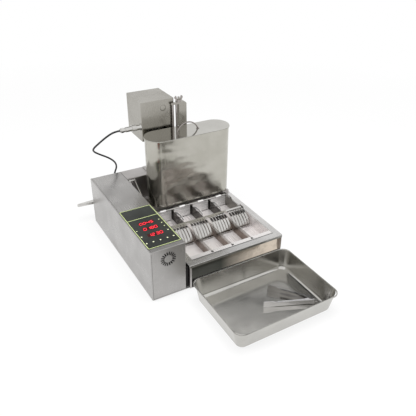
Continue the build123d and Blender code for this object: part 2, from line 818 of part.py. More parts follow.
# ================================================================ hopper
with BuildPart() as hopper:
    with BuildSketch(Plane.XY.offset(hopper_bottom)):
        with Locations((hopper_middle, hopper_axis)):
            SlotOverall(hopper_length, hopper_width)
    extrude(amount=hopper_height)
    fillet(hopper.faces().sort_by(Axis.Z)[0].edges(), 5)
    offset(amount=-thin_sheet, openings=hopper.faces().sort_by(Axis.Z)[-1])
    # rolled rim
    with BuildSketch(Plane.XY.offset(hopper_top)):
        with Locations((hopper_middle, hopper_axis)):
            SlotOverall(hopper_length + 2 * hopper_rim, hopper_width + 2 * hopper_rim)
            SlotOverall(hopper_length - 2 * thin_sheet, hopper_width - 2 * thin_sheet, mode=Mode.SUBTRACT)
    extrude(amount=-hopper_rim)
    fillet(hopper.faces().sort_by(Axis.Z)[-1].edges(), 1.3)
    with BuildSketch(Plane.XY.offset(hopper_bottom)):
        with Locations([(x, hopper_axis) for x in lane_middles]):
            Circle(nozzle_radius - nozzle_wall)
    extrude(amount=thin_sheet, mode=Mode.SUBTRACT)
write(hopper.part, "hopper")

beam_width = 12
with BuildPart() as hopper_brackets:
    for y in (hopper_front + 7, hopper_back - 7 - beam_width):
        with BuildSketch(Plane.XY.offset(deck_height)):
            with Locations(((fryer_left + fryer_right) / 2, y)):
                Rectangle(fryer_width - 8, beam_width, align=(Align.CENTER, Align.MIN))
        extrude(amount=hopper_lift)
write(hopper_brackets.part, "hopper_brackets")

with BuildPart() as nozzles:
    for x in lane_middles:
        with BuildSketch(Plane.XY.offset(nozzle_bottom)):
            with Locations((x, hopper_axis)):
                Circle(nozzle_radius)
                Circle(nozzle_radius - nozzle_wall, mode=Mode.SUBTRACT)
        extrude(amount=hopper_bottom - nozzle_bottom)
        with BuildSketch(Plane.XY.offset(hopper_bottom)):
            with Locations((x, hopper_axis)):
                Circle(nozzle_radius + 5)
                Circle(nozzle_radius - nozzle_wall, mode=Mode.SUBTRACT)
        extrude(amount=-2)
        # spider, stem and mandrel disc that form the ring
        with BuildSketch(Plane.XY.offset(hopper_bottom - 6)):
            with Locations((x, hopper_axis)):
                with PolarLocations(0, 3):
                    Rectangle(nozzle_radius - 0.5, 2.5, align=(Align.MIN, Align.CENTER))
        extrude(amount=4)
        with BuildSketch(Plane.XY.offset(mandrel_bottom)):
            with Locations((x, hopper_axis)):
                Circle(3)
        extrude(amount=hopper_bottom - 2 - mandrel_bottom)
        with BuildSketch(Plane.XY.offset(mandrel_bottom)):
            with Locations((x, hopper_axis)):
                Circle(nozzle_radius)
        extrude(amount=mandrel_sheet)
write(nozzles.part, "nozzles")

lid_skirt = 8
lid_sheet = 1.2
lid_gap = 0.8
with BuildPart() as hopper_lid:
    with BuildSketch(Plane.XY.offset(hopper_top + face_gap)):
        with Locations((hopper_middle, hopper_axis)):
            SlotOverall(hopper_length + 2 * hopper_rim - 2, hopper_width + 2 * hopper_rim - 2)
    extrude(amount=lid_sheet)
    with BuildSketch(Plane.XY.offset(hopper_top + face_gap)):
        with Locations((hopper_middle, hopper_axis)):
            SlotOverall(hopper_length - 2 * (thin_sheet + lid_gap), hopper_width - 2 * (thin_sheet + lid_gap))
            SlotOverall(
                hopper_length - 2 * (thin_sheet + lid_gap + lid_sheet),
                hopper_width - 2 * (thin_sheet + lid_gap + lid_sheet),
                mode=Mode.SUBTRACT,
            )
    extrude(amount=-lid_skirt)
write(hopper_lid.part, "hopper_lid")

lid_top = hopper_top + face_gap + lid_sheet
handle_span = 88
handle_rise = 33
handle_rod = 2.5
with BuildPart() as lid_handle:
    with BuildLine(Plane.XZ.offset(-hopper_axis)) as handle_path:
        ThreePointArc(
            (hopper_middle - handle_span / 2, lid_top),
            (hopper_middle, lid_top + handle_rise),
            (hopper_middle + handle_span / 2, lid_top),
        )
    with BuildSketch(handle_path.line ^ 0):
        Circle(handle_rod)
    sweep()
    with BuildSketch(Plane.XY.offset(lid_top)):
        with Locations([(hopper_middle + side * handle_span / 2, hopper_axis) for side in (-1, 1)]):
            Circle(6)
    extrude(amount=2)
    split(bisect_by=Plane.XY.offset(lid_top))
write(lid_handle.part, "lid_handle")

# ================================================================ motor box and column
with BuildPart() as motor_box:
    with BuildSketch(Plane.XY.offset(motor_bottom)):
        with Locations(((motor_left + motor_right) / 2, (motor_front + motor_back) / 2)):
            Rectangle(motor_width, motor_depth)
    extrude(amount=motor_height)
    fillet(motor_box.edges().group_by(Axis.Y)[0].filter_by(Axis.Z), bend)
    offset(amount=-sheet, openings=motor_box.faces().sort_by(Axis.Y)[-1])
    # round plug in the front wall and the connector's hole in the left one
    with BuildSketch(Plane.XZ.offset(-motor_front)):
        with Locations((plug_x, plug_z)):
            Circle(plug_radius - 2)
    extrude(amount=-2 * sheet, mode=Mode.SUBTRACT)
    with BuildSketch(Plane.YZ.offset(motor_left)):
        with Locations((connector_y, connector_z)):
            Circle(connector_thread)
    extrude(amount=2 * sheet, mode=Mode.SUBTRACT)
write(motor_box.part, "motor_box")

with BuildPart() as motor_box_cover:
    with BuildSketch(Plane.XZ.offset(-motor_back)):
        with Locations(((motor_left + motor_right) / 2, (motor_bottom + motor_top) / 2)):
            RectangleRounded(motor_width, motor_height, 2)
    extrude(amount=-sheet)
write(motor_box_cover.part, "motor_box_cover")

# gear motor on a cradle, its output to the right where the slide head stands
gear_y = motor_front + 50
gear_z = motor_bottom + 88
gear_case = (48, 60)
with BuildPart() as gear_motor:
    with BuildSketch(Plane.YZ.offset(motor_right - sheet)):
        with Locations((gear_y, gear_z)):
            RectangleRounded(*gear_case, 4)
    extrude(amount=-32)
    with BuildSketch(Plane.YZ.offset(motor_right - sheet - 32)):
        with Locations((gear_y, gear_z)):
            Circle(25)
    extrude(amount=-62)
    with BuildSketch(Plane.XY.offset(motor_bottom + sheet)):
        with Locations((motor_right - sheet - 16, gear_y)):
            Rectangle(24, 40)
    extrude(amount=gear_z - gear_case[1] / 2 - motor_bottom - sheet)
write(gear_motor.part, "gear_motor")

column_size = (50, 40)
column_x = motor_left + 66
column_y = back_y - 34
with BuildPart() as motor_column:
    with BuildSketch(Plane.XY.offset(box_height)):
        with Locations((column_x, column_y)):
            RectangleRounded(*column_size, 4)
            RectangleRounded(column_size[0] - 4, column_size[1] - 4, 2.5, mode=Mode.SUBTRACT)
    extrude(amount=motor_bottom - box_height)
    for z, way in ((box_height, 4), (motor_bottom, -4)):
        with BuildSketch(Plane.XY.offset(z)):
            with Locations((column_x, column_y)):
                RectangleRounded(column_size[0] + 34, column_size[1] + 16, 4)
                with GridLocations(column_size[0] + 20, 32, 2, 2):
                    Circle(2.5, mode=Mode.SUBTRACT)
                RectangleRounded(column_size[0] - 8, column_size[1] - 8, 2, mode=Mode.SUBTRACT)
        extrude(amount=way)
write(motor_column.part, "motor_column")

# ================================================================ slide head
guide_front = push_rod_y - push_rod_radius - 3.5
with BuildPart() as slide_guide:
    with BuildSketch(Plane.XY.offset(motor_bottom)):
        guide_left = push_rod_places[0] - 10
        guide_right = push_rod_places[1] + 10
        with Locations((guide_left, guide_front)):
            Rectangle(guide_right - guide_left, 50, align=(Align.MIN, Align.MIN))
        with Locations([(x, push_rod_y) for x in push_rod_places]):
            Circle(push_rod_radius + running_gap, mode=Mode.SUBTRACT)
    extrude(amount=-guide_sheet)
write(slide_guide.part, "slide_guide")

with BuildPart() as push_rods:
    with BuildSketch(Plane.XY.offset(yoke_bottom)):
        with Locations([(x, push_rod_y) for x in push_rod_places]):
            Circle(push_rod_radius)
    extrude(amount=crosshead_top - yoke_bottom)
write(push_rods.part, "push_rods")

stud_radius = 4
stud_x = head_left + 1.5
stud_y = push_rod_y + 1
stud_top = crosshead_top + 20
with BuildPart() as slide_head:
    with BuildSketch(Plane.XY.offset(head_bottom)):
        with Locations((head_left, head_front)):
            Rectangle(head_width, head_depth, align=(Align.MIN, Align.MIN))
    extrude(amount=head_height)
    fillet(slide_head.faces().sort_by(Axis.Z)[-1].edges().group_by(Axis.X)[-1], 10)
    fillet(slide_head.edges().filter_by(Axis.Z), 2)
    # crosshead that clamps the two rods, with the threaded stud of the wing nut
    with BuildSketch(Plane.XY.offset(crosshead_top)):
        with Locations((push_rod_places[0] - 7, head_front)):
            crosshead_length = head_left + head_width - 12 - push_rod_places[0] + 7
            Rectangle(crosshead_length, 2 * (push_rod_y - head_front) + 1, align=(Align.MIN, Align.MIN))
    extrude(amount=-crosshead_sheet)
    with BuildSketch(Plane.XY.offset(crosshead_top - 1)):
        with Locations((stud_x, stud_y)):
            Circle(stud_radius)
    extrude(amount=stud_top - crosshead_top + 1)
    with BuildSketch(Plane.XY.offset(crosshead_top)):
        with Locations([(x, push_rod_y) for x in push_rod_places]):
            Circle(push_rod_radius + running_gap)
    extrude(amount=-crosshead_sheet, mode=Mode.SUBTRACT)
write(slide_head.part, "slide_head")

wing_z = crosshead_top + face_gap
wing_hub = 9
wing_span = 16.5
wing_height = 24
with BuildPart() as wing_nut:
    with BuildSketch(Plane.XY.offset(wing_z)):
        with Locations((stud_x, stud_y)):
            Circle(wing_hub)
    extrude(amount=9)
    chamfer(wing_nut.faces().sort_by(Axis.Z)[-1].edges(), 1.5)
    for side in (-1, 1):
        with BuildSketch(Plane.XZ.offset(-(stud_y - 2))):
            with BuildLine():
                Polyline(
                    (stud_x + side * 5, wing_z + 8),
                    (stud_x + side * 8, wing_z + 1),
                    (stud_x + side * wing_span, wing_z + wing_height - 10),
                )
                ThreePointArc(
                    (stud_x + side * wing_span, wing_z + wing_height - 10),
                    (stud_x + side * (wing_span - 1.5), wing_z + wing_height - 2),
                    (stud_x + side * (wing_span - 6), wing_z + wing_height),
                )
                Line(
                    (stud_x + side * (wing_span - 6), wing_z + wing_height),
                    (stud_x + side * 5, wing_z + 8),
                )
            make_face()
        extrude(amount=-4)
    with BuildSketch(Plane.XY.offset(wing_z)):
        with Locations((stud_x, stud_y)):
            Circle(stud_radius + running_gap)
    extrude(amount=wing_height, mode=Mode.SUBTRACT)
write(wing_nut.part, "wing_nut")

sleeve_inner = nozzle_radius + 0.1
with BuildPart() as cutter_yoke:
    with BuildSketch(Plane.XY.offset(mandrel_bottom)):
        with Locations([(x, hopper_axis) for x in lane_middles]):
            Circle(sleeve_inner + sleeve_wall)
    extrude(amount=sleeve_height)
    with BuildSketch(Plane.XY.offset(yoke_bottom)):
        span = lane_middles[-1] - lane_middles[0]
        with Locations(((lane_middles[0] + lane_middles[-1]) / 2, hopper_axis)):
            Rectangle(span, 16)
        arm_left = push_rod_places[0] - 8
        arm_right = push_rod_places[1] + 8
        with Locations((arm_left, hopper_axis)):
            Rectangle(arm_right - arm_left, push_rod_y + 8 - hopper_axis, align=(Align.MIN, Align.MIN))
    extrude(amount=yoke_sheet)
    with BuildSketch(Plane.XY.offset(mandrel_bottom)):
        with Locations([(x, hopper_axis) for x in lane_middles]):
            Circle(sleeve_inner)
    extrude(amount=sleeve_height, mode=Mode.SUBTRACT)
    with BuildSketch(Plane.XY.offset(yoke_bottom)):
        with Locations([(x, push_rod_y) for x in push_rod_places]):
            Circle(push_rod_radius + running_gap)
    extrude(amount=yoke_sheet, mode=Mode.SUBTRACT)
write(cutter_yoke.part, "cutter_yoke")

# ================================================================ cable, connector, gland and inlet
connector_end = motor_left - connector_length
with BuildPart() as cable_connector:
    # (distance from the motor box, radius) of each turned step
    steps = [(-8, 8.9), (0, 13), (5, 10.5), (20, 13.5), (37, 10), (62, 8), (68, 9.5), (80, 7)]
    ends = [reach for reach, radius in steps[1:]] + [connector_length]
    for (reach, radius), end in zip(steps, ends):
        with BuildSketch(Plane.YZ.offset(motor_left - reach)):
            with Locations((connector_y, connector_z)):
                if radius in (13, 9.5):
                    RegularPolygon(radius, 6)
                else:
                    Circle(radius)
        extrude(amount=reach - end)
    # grip ribs round the coupling nut
    with BuildSketch(Plane.YZ.offset(motor_left - 20)):
        with Locations((connector_y, connector_z)):
            with PolarLocations(13.5, 18):
                Circle(0.8)
    extrude(amount=-17, mode=Mode.SUBTRACT)
write(cable_connector.part, "cable_connector")

gland_end = back_y + gland_reach
with BuildPart() as cable_gland:
    with BuildSketch(Plane.XZ.offset(-(back_y - 6))):
        with Locations((gland_x, gland_z)):
            Circle(gland_radius)
    extrude(amount=-6 - gland_reach + 1)
    with BuildSketch(Plane.XZ.offset(-back_y)):
        with Locations((gland_x, gland_z)):
            RegularPolygon(12, 6)
    extrude(amount=-6)
    with BuildSketch(Plane.XZ.offset(-(back_y + 8))):
        with Locations((gland_x, gland_z)):
            RegularPolygon(10.5, 6)
    extrude(amount=-gland_reach + 8)
write(cable_gland.part, "cable_gland")

# the cable's route from the connector round the back to the gland
cable_route = [
    (connector_end, connector_y, connector_z),
    (-149, connector_y, connector_z),
    (-177, 352, 392),
    (-203, 364, 368),
    (-226, 380, 342),
    (-217, 404, 318),
    (-189, 414, 296),
    (-153, 426, 270),
    (-123, 442, 238),
    (-112, 460, 205),
    (-119, 472, 177),
    (-124, 474, 151),
    (-124.6, 466, 136.5),
    (gland_x, 454.5, gland_z),
    (gland_x, gland_end, gland_z),
]


def route_radii(route):
    """Largest even arc at each corner: 0.45 of the shorter run over the tangent of half the turn."""
    radii = []
    for before, at, after in zip(route, route[1:], route[2:]):
        run_in = Vector(*at) - Vector(*before)
        run_out = Vector(*after) - Vector(*at)
        turn = radians(run_in.get_angle(run_out))
        radii.append(0.45 * min(run_in.length, run_out.length) / tan(turn / 2))
    return radii


cable_radii = route_radii(cable_route)
print("cable radii", [round(radius) for radius in cable_radii])
with BuildPart() as motor_cable:
    with BuildLine() as cable_path:
        FilletPolyline(*cable_route, radius=cable_radii)
    with BuildSketch(Plane(origin=cable_path.line @ 0, z_dir=cable_path.line % 0)):
        Circle(cable_radius)
    sweep()
cable_length = cable_path.wire().length
cable_section = pi * cable_radius**2
print("cable length", round(cable_length), "fill", motor_cable.part.volume / (cable_section * cable_length))
write(motor_cable.part, "motor_cable")

inlet_depth = 24
with BuildPart() as power_inlet:
    with BuildSketch(Plane.XZ.offset(-back_y)):
        with Locations((inlet_x, inlet_z)):
            RectangleRounded(inlet_size[0] + 20, inlet_size[1] + 8, 4)
    extrude(amount=-3)
    with BuildSketch(Plane.XZ.offset(-back_y)):
        with Locations((inlet_x, inlet_z)):
            Rectangle(inlet_size[0] - 0.4, inlet_size[1] - 0.4)
    extrude(amount=inlet_depth)
    with BuildSketch(Plane.XZ.offset(-(back_y + 3))):
        with Locations((inlet_x, inlet_z)):
            Rectangle(inlet_size[0] - 5, inlet_size[1] - 5)
    extrude(amount=inlet_depth - 3, mode=Mode.SUBTRACT)
    with BuildSketch(Plane.XZ.offset(-(back_y - inlet_depth + 6))):
        with Locations([(inlet_x - 7, inlet_z - 2), (inlet_x, inlet_z + 2), (inlet_x + 7, inlet_z - 2)]):
            Rectangle(2, 4)
    extrude(amount=-16)
write(power_inlet.part, "power_inlet")

# ================================================================ drain
with BuildPart() as drain_valve:
    with BuildLine() as drain_path:
        FilletPolyline(
            (drain_tank_x, drain_tank_y, drain_z),
            (drain_tank_x, drain_turn_y, drain_z),
            (drain_x, drain_turn_y, drain_z),
            (drain_x, back_y + valve_reach, drain_z),
            radius=20,
        )
    with BuildSketch(Plane(origin=drain_path.line @ 0, z_dir=drain_path.line % 0)):
        Circle(drain_pipe_radius)
    sweep()
    with BuildSketch(Plane.XZ.offset(-(back_y + valve_reach))):
        with Locations((drain_x, drain_z)):
            Circle(drain_pipe_radius - 2.6)
    extrude(amount=14, mode=Mode.SUBTRACT)
    # elbow under the tank's drain boss
    with BuildSketch(Plane.XY.offset(tank_floor - thin_sheet - 3)):
        with Locations((drain_tank_x, drain_tank_y)):
            Circle(drain_pipe_radius + 1)
    extrude(amount=-(tank_floor - thin_sheet - 3 - drain_z + drain_pipe_radius + 1))
    # valve body with its two hexagon ends, and the stem with packing nut
    with BuildSketch(Plane.XZ.offset(-(valve_y - 22))):
        with Locations((drain_x, drain_z)):
            RegularPolygon(16, 6)
    extrude(amount=-12)
    with BuildSketch(Plane.XZ.offset(-(valve_y + 10))):
        with Locations((drain_x, drain_z)):
            RegularPolygon(16, 6)
    extrude(amount=-14)
    with BuildSketch(Plane.XY.offset(drain_z)):
        with Locations((drain_x, valve_y)):
            Circle(9)
    extrude(amount=lever_z - drain_z - 6)
    with BuildSketch(Plane.XY.offset(lever_z - 6)):
        with Locations((drain_x, valve_y)):
            Circle(stem_radius)
    extrude(amount=18)
    with BuildSketch(Plane.XY.offset(lever_z + lever_height + face_gap)):
        with Locations((drain_x, valve_y)):
            RegularPolygon(7, 6)
    extrude(amount=4)
write(drain_valve.part, "drain_valve")

# lever: a channel that narrows from the stem to its rounded end
lever_root = 14
lever_tip = 7
lever_sheet = 2
lever_length = drain_x - box_left + lever_reach
with BuildPart() as drain_lever:
    with BuildSketch(Plane.XY.offset(lever_z)):
        with BuildLine():
            tip_x = drain_x - lever_length + lever_tip
            ThreePointArc(
                (drain_x, valve_y + lever_root), (drain_x + lever_root, valve_y), (drain_x, valve_y - lever_root)
            )
            Line((drain_x, valve_y - lever_root), (tip_x, valve_y - lever_tip))
            ThreePointArc(
                (tip_x, valve_y - lever_tip), (tip_x - lever_tip, valve_y), (tip_x, valve_y + lever_tip)
            )
            Line((tip_x, valve_y + lever_tip), (drain_x, valve_y + lever_root))
        make_face()
    extrude(amount=lever_height)
    fillet(drain_lever.faces().sort_by(Axis.Z)[-1].edges(), 3)
    offset(amount=-lever_sheet, openings=drain_lever.faces().sort_by(Axis.Z)[0])
    with BuildSketch(Plane.XY.offset(lever_z)):
        with Locations((drain_x, valve_y)):
            Circle(stem_radius + running_gap)
    extrude(amount=lever_height, mode=Mode.SUBTRACT)
write(drain_lever.part, "drain_lever")

# ================================================================ screws
screw_radius = 3.2
screw_height = 1.8
front_screws = [
    (hopper_left + 79.5, hopper_front, hopper_bottom + 11),
    (motor_left + 8, motor_front, motor_bottom + 8),
]
back_screws = [
    (motor_left + inset_x, motor_back + sheet, motor_bottom + inset_z)
    for inset_x in (8, motor_width - 8)
    for inset_z in (8, motor_height - 8)
]
back_screws += [(x, back_y, z) for x in (box_left + 12, fryer_right - 14) for z in (20, box_height - 15)]
back_screws += [(x, back_y, box_height - 15) for x in (box_right - 12, rear_left + 20)]
side_screws = [(fryer_right, ledge_front + 20, z) for z in (40, box_height - 40)]
with BuildPart() as case_screws:
    for x, y, z in front_screws:
        with BuildSketch(Plane.XZ.offset(-y)):
            with Locations((x, z)):
                Circle(screw_radius)
        extrude(amount=screw_height)
    for x, y, z in back_screws:
        with BuildSketch(Plane.XZ.offset(-y)):
            with Locations((x, z)):
                Circle(screw_radius)
        extrude(amount=-screw_height)
    for x, y, z in side_screws:
        with BuildSketch(Plane.YZ.offset(x)):
            with Locations((y, z)):
                Circle(screw_radius)
        extrude(amount=screw_height)
write(case_screws.part, "case_screws")

# ================================================================ tray
tray_inset = 117  # tray's left end right of the control box's left side
tray_middle = box_left + tray_inset + tray_length / 2
tray_back = fryer_front - tray_gap
tray_axis = tray_back - tray_width / 2
tray_rim = 3
tray_slope = 14.6  # the walls lean out this far over their height
tray_corner = 30
tray_taper = atan(tray_slope / tray_height)
tray_bend = 14


def tray_form(base, inset, bend_radius):
    """Tapered pan form from base up to the rim, its bottom edge rounded."""
    with BuildPart() as form:
        with BuildSketch(Plane.XY.offset(base)):
            with Locations((tray_middle, tray_axis)):
                RectangleRounded(
                    tray_length - 2 * (tray_rim + tray_slope + inset),
                    tray_width - 2 * (tray_rim + tray_slope + inset),
                    tray_corner - tray_rim - 5,
                )
        extrude(amount=tray_height, taper=-degrees(tray_taper))
        fillet(form.faces().sort_by(Axis.Z)[0].edges(), bend_radius)
    return form.part


tray_outside = tray_form(0, 0, tray_bend)
tray_inside = tray_form(thin_sheet, thin_sheet * (1 / cos(tray_taper) - tan(tray_taper)), tray_bend - thin_sheet)
with BuildPart() as rolled_rim:
    with BuildSketch(Plane.XY.offset(tray_height)):
        with Locations((tray_middle, tray_axis)):
            RectangleRounded(tray_length, tray_width, tray_corner)
            inset = tray_rim + thin_sheet
            RectangleRounded(
                tray_length - 2 * inset, tray_width - 2 * inset, tray_corner - inset, mode=Mode.SUBTRACT
            )
    extrude(amount=-4)
    fillet(rolled_rim.faces().sort_by(Axis.Z)[-1].edges(), 1.6)
with BuildPart() as tray:
    add(tray_outside)
    add(tray_inside, mode=Mode.SUBTRACT)
    add(rolled_rim.part)
write(tray.part, "tray")

# ================================================================ serving tongs
tongs_x = tray_middle + tray_length / 2 - 52
tongs_y = tray_axis - 73
long_arm = (156, 167)  # direction in degrees and length
short_arm = (130.3, 155)
tongs_bottom = thin_sheet + face_gap
tongs_sheet = 1.2
channel_depth = 9
arm_height = 20
pad_height = 24
pin_radius = 2
ear_radius = 6.5


def tongs_arm(direction, length, side, inset):
    """One arm on its edge: a channel open to the other arm, with a scalloped pad at the tip.

    side is 1 where the web lies left of the arm's line, and inset narrows the inner arm's channel.
    """
    along = Vector(cos(radians(direction)), sin(radians(direction)), 0)
    across = Vector(-along.Y, along.X, 0) * side
    low = tongs_bottom + inset
    high = tongs_bottom + arm_height - inset
    pivot = Vector(tongs_x, tongs_y, 0)
    root = pivot + across * channel_depth
    with BuildPart() as arm:
        with BuildSketch(Plane(origin=root, x_dir=along, z_dir=along.cross(Vector(0, 0, 1)))):
            with BuildLine():
                Polyline(
                    (-ear_radius, low),
                    (length - 42, low),
                    (length - 26, tongs_bottom),
                    (length - 6, tongs_bottom),
                )
                Spline(
                    (length - 6, tongs_bottom),
                    (length, tongs_bottom + 4),
                    (length - 3, tongs_bottom + 8),
                    (length, tongs_bottom + 12),
                    (length - 3, tongs_bottom + 16),
                    (length, tongs_bottom + 20),
                    (length - 6, tongs_bottom + pad_height),
                )
                Polyline(
                    (length - 6, tongs_bottom + pad_height),
                    (length - 26, tongs_bottom + pad_height),
                    (length - 42, high),
                    (-ear_radius, high),
                    (-ear_radius, low),
                )
            make_face()
        extrude(amount=tongs_sheet * side)
        for z, way in ((low, tongs_sheet), (high, -tongs_sheet)):
            with BuildSketch(Plane(origin=(tongs_x, tongs_y, z), x_dir=along, z_dir=(0, 0, 1))):
                with BuildLine():
                    Polyline(
                        (-ear_radius, side * channel_depth),
                        (-ear_radius, 0),
                        (0, -ear_radius * side),
                        (10, -4.5 * side),
                        (30, 1 * side),
                        (length - 50, 3 * side),
                        (length - 42, side * channel_depth),
                        (-ear_radius, side * channel_depth),
                    )
                make_face()
                Circle(pin_radius + running_gap, mode=Mode.SUBTRACT)
            extrude(amount=way)
    return arm.part


write(tongs_arm(*short_arm, -1, 0), "tongs_arm_right")
write(tongs_arm(*long_arm, 1, tongs_sheet + face_gap), "tongs_arm_left")

with BuildPart() as tongs_pin:
    with BuildSketch(Plane.XY.offset(tongs_bottom)):
        with Locations((tongs_x, tongs_y)):
            Circle(pin_radius)
    extrude(amount=arm_height + 1)
write(tongs_pin.part, "tongs_pin")

lock_angle = (long_arm[0] + short_arm[0]) / 2 - 180
lock_travel = 6
lock_sheet = 1.5
lock_width = 7
lock_front = 11  # plate's reach from the pin to the arms
lock_back = 10  # and to the ring
ring_radius = 6
ring_rod = 1.5
with BuildPart() as tongs_lock_ring:
    lock_z = tongs_bottom + arm_height / 2
    way = Vector(cos(radians(lock_angle)), sin(radians(lock_angle)), 0)
    with BuildSketch(Plane(origin=(tongs_x, tongs_y, lock_z - lock_sheet / 2), x_dir=way, z_dir=(0, 0, 1))):
        with Locations((-lock_front, 0)):
            Rectangle(lock_front + lock_back, lock_width, align=(Align.MIN, Align.CENTER))
        with Locations((-lock_travel / 2, 0)):
            SlotOverall(lock_travel + 2 * pin_radius + 1, 2 * (pin_radius + running_gap), mode=Mode.SUBTRACT)
    extrude(amount=lock_sheet)
    ring_middle = Vector(tongs_x, tongs_y, lock_z) + way * (lock_back + ring_radius)
    with BuildSketch(Plane(origin=ring_middle, x_dir=way, z_dir=Vector(0, 0, 1).cross(way))):
        with Locations((ring_radius, 0)):
            Circle(ring_rod)
    revolve(axis=Axis(ring_middle, (0, 0, 1)))
write(tongs_lock_ring.part, "tongs_lock_ring")
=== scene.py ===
import math
import bpy
import numpy as np
from mathutils import Matrix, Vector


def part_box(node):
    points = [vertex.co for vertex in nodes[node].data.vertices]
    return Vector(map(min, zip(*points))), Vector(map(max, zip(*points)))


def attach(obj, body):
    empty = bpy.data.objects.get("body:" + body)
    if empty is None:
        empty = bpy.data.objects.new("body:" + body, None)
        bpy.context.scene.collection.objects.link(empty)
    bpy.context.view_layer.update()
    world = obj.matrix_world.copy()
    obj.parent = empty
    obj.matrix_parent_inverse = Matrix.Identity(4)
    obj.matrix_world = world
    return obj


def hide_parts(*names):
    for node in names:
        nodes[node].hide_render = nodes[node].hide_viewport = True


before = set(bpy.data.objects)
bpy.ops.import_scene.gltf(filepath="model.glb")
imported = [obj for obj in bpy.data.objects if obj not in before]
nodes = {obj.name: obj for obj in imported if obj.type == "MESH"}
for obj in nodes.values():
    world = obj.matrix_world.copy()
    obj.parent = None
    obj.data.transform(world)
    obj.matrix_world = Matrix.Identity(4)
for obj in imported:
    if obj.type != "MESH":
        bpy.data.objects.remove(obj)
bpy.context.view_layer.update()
print("frame loaded")


# a new object in the scene, from its mesh, curve, camera or lamp
def addObject(name, data):
    item = bpy.data.objects.new(name, data)
    bpy.context.scene.collection.objects.link(item)
    return item


# camera: place in metres, turn left of the front, tilt down and roll in degrees; its view line comes from the
# turn and the tilt, right lies level and square to it, and up is square to both
cameraSetup = {
    "place": (-0.71965, -1.3329, 1.1343),
    "azimuth": -31.54,
    "tilt": 31.55,
    "roll": 1.34,
    "lens": 43.07,
    "sensor": 36.0,
    "shiftX": -0.0224,
    "shiftY": 0.0077,
    "near": 0.05,
    "far": 50,
}


def addCamera(setup):
    data = bpy.data.cameras.new("camera")
    data.lens = setup["lens"]
    data.sensor_width = setup["sensor"]
    data.shift_x = setup["shiftX"]
    data.shift_y = setup["shiftY"]
    data.clip_start = setup["near"]
    data.clip_end = setup["far"]
    a, e, roll = (math.radians(setup[key]) for key in ("azimuth", "tilt", "roll"))
    back = np.array([math.sin(a) * math.cos(e), -math.cos(a) * math.cos(e), math.sin(e)])
    right = np.array([math.cos(a), math.sin(a), 0.0])
    up = np.cross(back, right)
    # the roll turns right and up about the view line
    rolledRight = math.cos(roll) * right + math.sin(roll) * up
    rolledUp = -math.sin(roll) * right + math.cos(roll) * up
    matrix = np.eye(4)
    matrix[:3, 0], matrix[:3, 1], matrix[:3, 2], matrix[:3, 3] = rolledRight, rolledUp, back, setup["place"]
    camera = addObject("camera", data)
    camera.matrix_world = Matrix(matrix.tolist())
    bpy.context.scene.camera = camera


addCamera(cameraSetup)
print("camera placed")

# cable: the route's points in metres, from the connector round the back to the gland; a round tube follows a
# smooth curve that is drawn towards each of them
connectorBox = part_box("cable_connector")
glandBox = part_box("cable_gland")
cableSetup = {
    "diameter": 0.007,
    "rounding": 6,
    "steps": 12,
    "route": [
        (-0.149, 0.3455, 0.408),
        (-0.177, 0.352, 0.392),
        (-0.203, 0.364, 0.368),
        (-0.226, 0.380, 0.342),
        (-0.217, 0.404, 0.318),
        (-0.189, 0.414, 0.296),
        (-0.153, 0.426, 0.270),
        (-0.123, 0.442, 0.238),
        (-0.112, 0.460, 0.205),
        (-0.119, 0.472, 0.177),
        (-0.124, 0.474, 0.151),
        (-0.1246, 0.466, 0.1365),
        (-0.12475, 0.4545, 0.130),
    ],
}


def addCable(setup):
    connectorY = (connectorBox[0][1] + connectorBox[1][1]) / 2
    connectorZ = (connectorBox[0][2] + connectorBox[1][2]) / 2
    start = (connectorBox[0][0], connectorY, connectorZ)
    end = (setup["route"][-1][0], glandBox[1][1], setup["route"][-1][2])
    points = [start, *setup["route"], end]
    curve = bpy.data.curves.new("motorCable", "CURVE")
    curve.dimensions = "3D"
    curve.bevel_depth = setup["diameter"] / 2
    curve.bevel_resolution = setup["rounding"]
    curve.resolution_u = setup["steps"]
    curve.use_fill_caps = True
    spline = curve.splines.new("NURBS")
    spline.points.add(len(points) - 1)
    for point, place in zip(spline.points, points):
        point.co = (*place, 1)
    spline.order_u = 3
    spline.use_endpoint_u = True
    return addObject("motorCable", curve), start


cable, cableExit = addCable(cableSetup)
print("cable laid")


# a material with its node tree and its shader
def startMaterial(name):
    material = bpy.data.materials.new(name)
    material.use_nodes = True
    tree = material.node_tree
    shader = tree.nodes["Principled BSDF"]
    return material, tree, shader


even = (1, 1, 1)  # the stretch of a pattern that is as long as it is wide


# noise over the object's own coordinates, stretched by a factor on each axis
def objectNoise(tree, stretch, scale, detail=3.0, roughness=0.5):
    coordinates = tree.nodes.new("ShaderNodeTexCoord")
    mapping = tree.nodes.new("ShaderNodeMapping")
    mapping.inputs["Scale"].default_value = stretch
    noise = tree.nodes.new("ShaderNodeTexNoise")
    noise.inputs["Scale"].default_value = scale
    noise.inputs["Detail"].default_value = detail
    noise.inputs["Roughness"].default_value = roughness
    tree.links.new(coordinates.outputs["Object"], mapping.inputs["Vector"])
    tree.links.new(mapping.outputs["Vector"], noise.inputs["Vector"])
    return noise.outputs["Fac"]


# a value from one range mapped in a straight line to another, and held at its ends
def spread(tree, value, low, high, fromLow=0.3, fromHigh=0.7):
    node = tree.nodes.new("ShaderNodeMapRange")
    node.inputs["From Min"].default_value = fromLow
    node.inputs["From Max"].default_value = fromHigh
    node.inputs["To Min"].default_value = low
    node.inputs["To Max"].default_value = high
    tree.links.new(value, node.inputs["Value"])
    return node.outputs["Result"]


